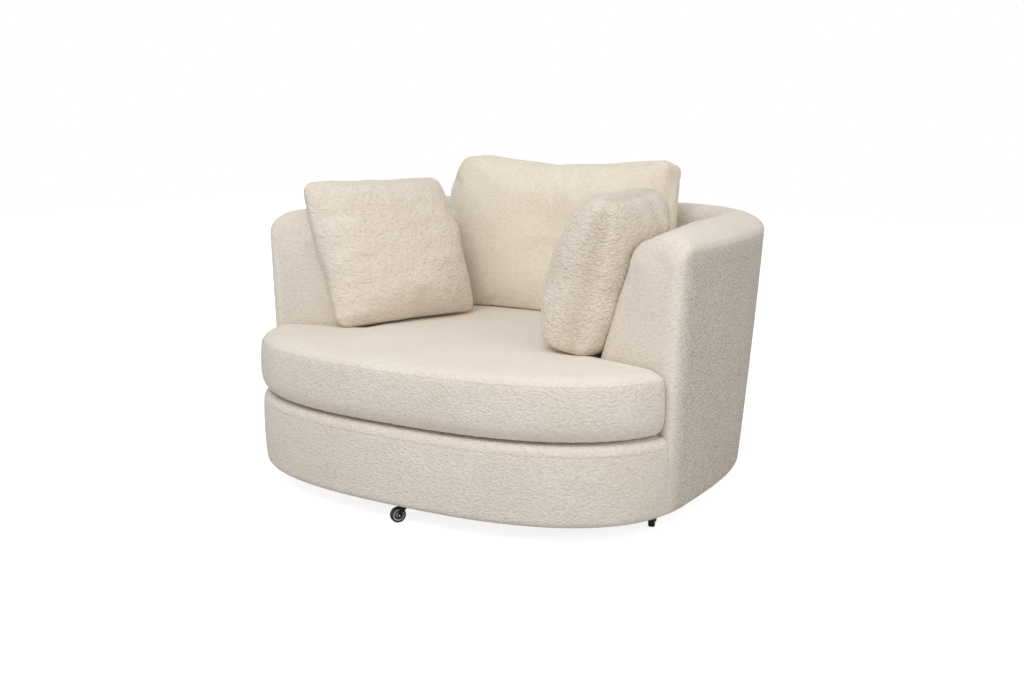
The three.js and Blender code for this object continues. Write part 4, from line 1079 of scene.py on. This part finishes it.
def straightened(points, front, wave, seed):
    # moves the rim of a sewn cushion on to its upright rectangle with small waves; the inside follows by the
    # cube of its nearness to each side
    nx, ny = front.shape
    u, v = np.zeros(len(points)), np.zeros(len(points))
    gridU, gridV = np.meshgrid(np.linspace(-1, 1, nx), np.linspace(-1, 1, ny), indexing="ij")
    u[front], v[front] = gridU, gridV
    inner = gridU[1:-1, 1:-1].size
    u[-inner:], v[-inner:] = gridU[1:-1, 1:-1].ravel(), gridV[1:-1, 1:-1].ravel()
    rim = points[front]
    random = np.random.default_rng(seed)

    def pull(line, axis, target, along):
        # only the middle of a side moves: its corners keep the shape that the cloth gave them
        free = easeIn(1 - np.abs(along), 0, scatter["cornerHold"])
        waves = sum(random.normal() * np.sin(k * math.pi * (along + 1) / 2 + random.uniform(0, 6)) / k
                    for k in (2, 3, 5, 7))
        return free * (target - line[:, axis] + wave * waves)

    alongX, alongY = np.linspace(-1, 1, nx), np.linspace(-1, 1, ny)
    low, high = points.min(0) + wave, points.max(0) - wave
    sides = [
        (1, alongX, pull(rim[:, -1], 1, high[1], alongX), u, (1 + v) / 2),
        (1, alongX, pull(rim[:, 0], 1, low[1], alongX), u, (1 - v) / 2),
        (0, alongY, pull(rim[-1], 0, high[0], alongY), v, (1 + u) / 2),
        (0, alongY, pull(rim[0], 0, low[0], alongY), v, (1 - u) / 2),
    ]
    points = points.copy()
    for axis, along, move, at, near in sides:
        points[:, axis] += np.interp(at, along, move) * near ** 3
    return points


def calmRim(points, front, back, share=0.5, turns=20, pull=0.6):
    # evens out both panels near their seam: each turn draws a point towards the mean of its four neighbours
    nx, ny = front.shape
    u, v = np.meshgrid(np.linspace(-1, 1, nx), np.linspace(-1, 1, ny), indexing="ij")
    near = np.clip((np.maximum(np.abs(u), np.abs(v)) - share) / (1 - share), 0, 1)[1:-1, 1:-1, None]
    points = points.copy()
    for index in (front, back):
        for _ in range(turns):
            grid = points[index]
            mean = (grid[:-2, 1:-1] + grid[2:, 1:-1] + grid[1:-1, :-2] + grid[1:-1, 2:]) / 4
            points[index[1:-1, 1:-1]] += pull * near * (mean - grid[1:-1, 1:-1])
    return points


def fuller(points, height, reach, power):
    # blunts the wedge at the seam: depth as a share of its reach, to a power that runs from base to top
    rise = np.clip(points[:, 1] / height, 0, 1)
    share = (np.abs(points[:, 2]) / reach) ** (power[0] + (power[1] - power[0]) * rise)
    return np.sign(points[:, 2]) * reach * share


def turnBy(first, second, angle):
    # two coordinates turned by an angle
    c, s = math.cos(angle), math.sin(angle)
    return first * c - second * s, first * s + second * c


def standUp(points, place, yaw):
    # the cushion's height leans back by lean, then the whole turns by yaw about the upright
    y, z = turnBy(points[..., 1], points[..., 2], math.radians(90 - place["lean"]))
    x, y = turnBy(points[..., 0], y, math.radians(yaw))
    return np.stack([x + place["x"], y + place["y"] - body["middleY"], z + seat["high"] + place["rise"]], -1)


def wellSize(points):
    # the size of the well's plan curve through a point, as a share of the well's wall at its height
    halfWidth, back = wellReach(np.minimum(points[..., 2], body["rim"]))
    y = points[..., 1] + body["middleY"]
    power = np.where(y < 0, body["frontPower"], body["wellPower"])
    depth = np.where(y < 0, body["front"], back)
    return (np.abs(points[..., 0] / halfWidth) ** power + np.abs(y / depth) ** power) ** (1 / power)


def pressIn(points, free):
    # points that reach past the well's wall are drawn back to just inside it; the hold on them fades out over
    # the height called free above the rim, and round the arm's front edge
    pressed = points + [0, body["middleY"], 0]
    y = pressed[..., 1].copy()
    for _ in range(3):
        size = wellSize(pressed - [0, body["middleY"], 0])
        pull = np.minimum(1, cushionGap["share"] / np.maximum(size, 1e-6))
        pressed[..., 0] *= pull
        pressed[..., 1] *= np.where(y > cushionGap["backFrom"], pull, 1)
    pressed[..., 1] -= body["middleY"]
    loose = body["rim"] + cushionGap["above"]
    hold = easeIn(-points[..., 2], -loose - free, -loose)
    hold = hold * easeIn(y + body["armFrontInner"], *cushionGap["front"])
    return points + (pressed - points) * hold[..., None]


def restOn(points):
    # points below the seat's crown are pressed up to it, and those just above ease into it
    share = np.clip(wellSize(points * [1, 1, 0]), 0, 1)
    steep, blunt = seat["crownShape"]
    floor = seat["high"] + seat["crown"] * (1 - share ** steep) ** blunt + cushionGap["seat"]
    above = points[..., 2] - floor
    soft = 0.5 * (above + np.sqrt(above ** 2 + cushionGap["seatEase"] ** 2))
    z = floor + np.where(above < cushionGap["seatReach"], soft, above)
    return np.concatenate([points[..., :2], z[..., None]], -1)


def scatterCushion(name, node):
    # two sewn panels blown up, brought to size, crumpled, stood up in the corner and pressed into the well
    place = scatter[name]
    points, faces, front, back = sewnPanels(
        scatter["panelWidth"], scatter["panelHeight"], scatter["step"], scatter["start"], scatter["rounding"],
        scatter["bow"], place["seed"])
    points = inflate(points, faces, scatter["pressure"], scatter["frames"], scatter["bending"])
    print(name, "scatter cushion blown to", (points.max(0) - points.min(0)).round(3))
    points = fitted(points, place["width"], place["height"], place["front"], place["back"])
    points = calmRim(straightened(points, front, scatter["wave"], place["seed"]), front, back)
    for side, face, power in ((1, "front", "fullFront"), (-1, "back", "fullBack")):
        full = fuller(points, place["height"], place[face], place[power])
        points[:, 2] = np.where(points[:, 2] * side > 0, full, points[:, 2])
    rise = points[:, 1] / place["height"]
    inside = np.clip(np.abs(points[:, 2]) / scatter["seamEase"], 0, 1)
    crumple = ripple(points * scatter["crumpleStretch"], scatter["crumpleSize"], place["seed"], 2)
    points[:, 2] += np.sign(points[:, 2]) * inside * place["crumple"] * crumple
    gathered = np.exp(-(points[:, 0] - points[:, 0].min()) / scatter["gatherReach"])
    folds = ripple(points * scatter["gatherStretch"], scatter["gatherSize"], place["seed"] + 9, 2)
    points[:, 2] += np.sign(points[:, 2]) * inside * place["gather"] * gathered * folds
    points[:, 2] *= 1 + place["sag"] * (0.5 - rise)
    points[:, 0] += place["skew"] * (rise - 0.5)
    onRim = np.concatenate([front[:, 0], front[:, -1], front[0], front[-1]])
    inwards = points[onRim] - [0, place["height"] / 2, 0]
    points[onRim] -= scatter["seamDip"] * inwards / np.linalg.norm(inwards, axis=1, keepdims=True)
    points = restOn(pressIn(standUp(points, place, place["yaw"]), scatter["free"]))
    piece = makePiece(name + "Scatter", points, faces, scatterFinish)
    # painted shade along the seam round the rim
    seamShade = np.zeros(len(points))
    seamShade[onRim] = scatter["seam"]
    setWeights(piece, "seam", seamShade)
    # the nap deepens the nubs and the painted shade between them
    setWeights(piece, "napAndShade", np.full(len(points), place["napAndShade"]))
    soften(piece)
    # the zip lies on the back panel's first row above the seam
    start, stop = (int(share * len(front)) for share in scatter["zip"])
    path = points[back[start:stop, 1]]
    outward = np.cross(np.gradient(path, axis=0), points[back[start:stop, 2]] - points[back[start:stop, 0]])
    outward *= np.sign(((path - points.mean(0)) * outward).sum())
    zipStrip(name + "Zip", path, outward, node, node + "_zip")
    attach(piece, node)
    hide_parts(node + "_cover", node + "_insert")


def backCushion():
    # a boxed cushion blown up, brought to size, dipped along its top, leant back and pressed into the well
    rings, half = boxedRings(backPad["panelWidth"], backPad["panelHeight"], backPad["panelDepth"],
                             backPad["step"], backPad["power"], backPad["seed"])
    points, faces = ringSurface(rings)
    points = inflate(points, faces, backPad["pressure"], backPad["frames"], backPad["bending"])
    print("back cushion blown to", (points.max(0) - points.min(0)).round(3))
    points = fitted(points, backPad["width"], backPad["height"], backPad["front"], backPad["back"])
    rise = points[:, 1] / backPad["height"]
    out = points[:, 0] / (backPad["width"] / 2)
    corner = (np.abs(out) * np.clip(2 * rise - 1, 0, 1)) ** 5
    up, side = backPad["corner"]
    points[:, 1] += up * corner - backPad["dip"] * rise ** 4 * np.cos(math.pi * out / 2)
    points[:, 0] += side * corner * np.sign(out)
    points[:, 2] *= 1 + backPad["taper"] * (0.5 - rise)
    # the sides swell between the base and the top corners, most at the edge
    at, left, right = np.array(backPad["flare"]).T
    points[:, 0] += np.where(out < 0, -np.interp(rise, at, left), np.interp(rise, at, right)) * out ** 2
    points[:, 2] -= backPad["ahead"]
    points = restOn(pressIn(standUp(points, backPad, 0), backPad["free"]))
    start, stop = backPad["zipColumns"]
    underside = points[:-2].reshape(rings.shape)[half, start:stop]
    down = np.broadcast_to([0.0, 0.0, -1.0], underside.shape)
    zipStrip("backZip", underside, down, "back_cushion", "back_cushion_zip")
    piece = makePiece("backCushion", points, faces, backPadFinish)
    soften(piece)
    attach(piece, "back_cushion")
    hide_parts("back_cushion_cover", "back_cushion_core")


scatterFinish = boucleFinish("scatterBoucle", (0.985, 0.960, 0.93), 1.15, 1.2, 0.0045)
backPadFinish = boucleFinish("backPadBoucle", (1.015, 1.0, 0.945), 1.0, 0.36)
scatterCushion("left", "left_cushion")
scatterCushion("right", "right_cushion")
backCushion()
print("loose cushions are ready")


# casters

caster = {
    "wheelRadius": 0.019, "tyre": 0.0045, "wheelWidth": 0.015, "trail": 0.021,
    "plate": 0.040, "plateThickness": 0.0025, "plateCorner": 0.006,
    "crownRadius": 0.013, "forkTop": 0.0507, "forkThickness": 0.0022, "forkGap": 0.001,
    "forkAhead": -0.0091, "forkBack": 0.0112, "eyeRadius": 0.0055,
    "axleRadius": 0.0025, "screwPlace": 0.0140, "screwRadius": 0.0034,
    "fit": 0.0002,               # clearance round the axle and under the tyre
    "plateGap": 0.0004, "axleEnd": 0.001,
    "grooveShade": (0.0062, 0.0108),  # radii of the painted shade, near black, in the recess of the wheel's side
}


def aboutAxis(profile, centre, axis, count=48):
    # turns a profile of (along the axis, radius) pairs about the axis through the centre: rings of points
    angles = np.arange(count) * 2 * math.pi / count
    along, radius = np.array(profile, float).T[..., None]
    rings = np.zeros((len(profile), count, 3))
    rings[..., axis] = along
    rings[..., (axis + 1) % 3] = radius * np.cos(angles)
    rings[..., (axis + 2) % 3] = radius * np.sin(angles)
    return rings + centre


def hoop(half, centre, axis):
    # half of a profile, mirrored and turned into a closed ring, facing outwards
    rings = aboutAxis(half + [(-along, out) for along, out in half[::-1]], centre, axis)
    count, around = rings.shape[:2]
    index = np.arange(count * around).reshape(count, around)
    index = np.concatenate([index, index[:1]])
    faces = quads(np.concatenate([index, index[:, :1]], 1)).tolist()
    points = rings.reshape(-1, 3)
    return points, facedOut(points, faces, centre)


def pin(profile, centre, axis, count):
    # a profile turned about the axis and closed at both ends
    return ringSurface(aboutAxis(profile, centre, axis, count))


def slab(outline, low, high, axis, edge=0.0005):
    # an outline in the two other directions, as thick as low to high along the axis, with its edges taken off
    outline = np.asarray(outline, float)
    middle = outline.mean(0)
    reach = np.linalg.norm(outline - middle, axis=1, keepdims=True)
    rings = np.zeros((4, len(outline), 3))
    for ring, place, inset in zip(rings, (low, low + edge, high - edge, high), (edge, 0, 0, edge)):
        ring[:, axis] = place
        ring[:, [(axis + 1) % 3, (axis + 2) % 3]] = middle + (outline - middle) * (1 - inset / reach)
    return ringSurface(rings)


def together(*shapes):
    # several shapes as one
    points, faces, offset = [], [], 0
    for shape, corners in shapes:
        points.append(shape)
        faces += [[number + offset for number in corner] for corner in corners]
        offset += len(shape)
    return np.concatenate(points), faces


def roundedSquare(half, radius, steps=6):
    # four quarter circles of the radius round the corners of a square
    corners = []
    for turn, way in enumerate(([1, 1], [-1, 1], [-1, -1], [1, -1])):
        for angle in np.linspace(0, math.pi / 2, steps) + turn * math.pi / 2:
            at = np.array([math.cos(angle), math.sin(angle)]) * radius
            corners.append(np.array(way) * (half - radius) + at)
    return np.array(corners)


def plateShape():
    # the mounting plate with four screw heads under it
    low = caster["forkTop"] + caster["plateGap"]
    square = roundedSquare(caster["plate"] / 2, caster["plateCorner"])
    parts = [slab(square, low, low + caster["plateThickness"], 2)]
    head = caster["screwRadius"]
    dome = [(-0.0018, head * 0.02), (-0.0017, head * 0.45), (-0.0013, head * 0.78), (-0.0004, head),
            (0.0002, head)]
    for x in (-1, 1):
        for y in (-1, 1):
            parts.append(pin(dome, np.array([x, y, 0]) * caster["screwPlace"] + [0, 0, low], 2, 20))
    return together(*parts)


def forkShape(inside):
    # a round crown and two legs that end in an eye round the axle; outlines are (height, distance back) pairs
    radius, trail, eye = caster["wheelRadius"], caster["trail"], caster["eyeRadius"]
    top, thick, crown = caster["forkTop"], caster["forkThickness"], caster["crownRadius"]
    disc = pin([(-thick, 0.0002), (-thick, crown - 0.0008), (0.0005 - thick, crown), (-0.0005, crown),
                (0, crown - 0.0006), (0, 0.0002)], np.array([0, 0, top]), 2, 40)
    bottom = np.linspace(math.radians(35), math.radians(-215), 22)
    leg = [(top - 0.0012, caster["forkBack"]), (top - 0.0022, caster["forkBack"] + 0.001)]
    leg += [(radius + eye * math.sin(a), trail + eye * math.cos(a)) for a in bottom]
    leg += [(top - 0.006, caster["forkAhead"]), (top - 0.0012, caster["forkAhead"])]
    return together(disc, *(slab(leg, low, low + thick, 1) for low in (-inside - thick, inside)))


def casterShapes():
    # each part's shape about the swivel's upright, with its slot and the end of its body's name
    radius, half = caster["wheelRadius"], caster["wheelWidth"] / 2
    hub = np.array([caster["trail"], 0, radius])
    inside = half + caster["forkGap"]
    rim = radius - caster["tyre"] - caster["fit"]
    bore = caster["axleRadius"] + caster["fit"]
    side = [(half, bore), (half, bore + 0.0028), (half - 0.0006, bore + 0.0034),
            (half - 0.0040, bore + 0.0042), (half - 0.0044, rim - 0.0040), (half - 0.0014, rim - 0.0032),
            (half - 0.0008, rim - 0.0026), (half - 0.0008, rim - 0.0006), (half - 0.0012, rim)]
    lip = [(half - 0.0016, rim + 0.0003), (half - 0.0003, rim + 0.0009), (half, rim + 0.0020),
           (half - 0.0005, radius - 0.0014), (half - 0.0018, radius - 0.0004), (half - 0.0036, radius)]
    reach, thin = inside + caster["forkThickness"] + caster["axleEnd"], caster["axleRadius"]
    ends = [(reach, 0.0001), (reach - 0.0001, thin * 0.7), (reach - 0.0006, thin)]
    axle = pin([(-along, out) for along, out in ends] + ends[::-1], hub, 1, 24)
    return {
        "plate": (plateShape(), "zinc_steel", None),
        "fork": (forkShape(inside), "black_steel", "_swivel"),
        "axle": (axle, "zinc_steel", "_swivel"),
        "wheel": (hoop(side, hub, 1), "wheel_plastic", "_roller"),
        "tread": (hoop(lip, hub, 1), "tread_rubber", "_roller"),
    }


def middleOf(node):
    # the middle of a CAD node's box
    return np.mean([list(corner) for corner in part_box(node)], axis=0)


def makeCasters():
    # the shapes trail along x; each caster turns them to where its own CAD wheel trails
    shapes = casterShapes()
    for number in range(1, 6):
        node = f"caster_{number}"
        centre = middleOf(node + "_plate")
        way = middleOf(node + "_wheel") - centre
        for part, ((points, faces), slot, rider) in shapes.items():
            x, y = turnBy(points[:, 0], points[:, 1], math.atan2(way[1], way[0]))
            placed = np.stack([x + centre[0], y + centre[1], points[:, 2]], -1)
            name = f"caster{number}{part.capitalize()}"
            piece = makePiece(name, placed, faces, finishes[slot], part in ("tread", "wheel", "axle"))
            # painted shade: the recess in the wheel's side is coloured near black
            if part == "wheel":
                out = np.hypot(points[:, 0] - caster["trail"], points[:, 2] - caster["wheelRadius"])
                low, high = caster["grooveShade"]
                setWeights(piece, "grooveShade", (out > low) & (out < high))
            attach(piece, node + rider if rider else "chair")
            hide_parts(f"{node}_{part}")


makeCasters()
print("casters are ready")
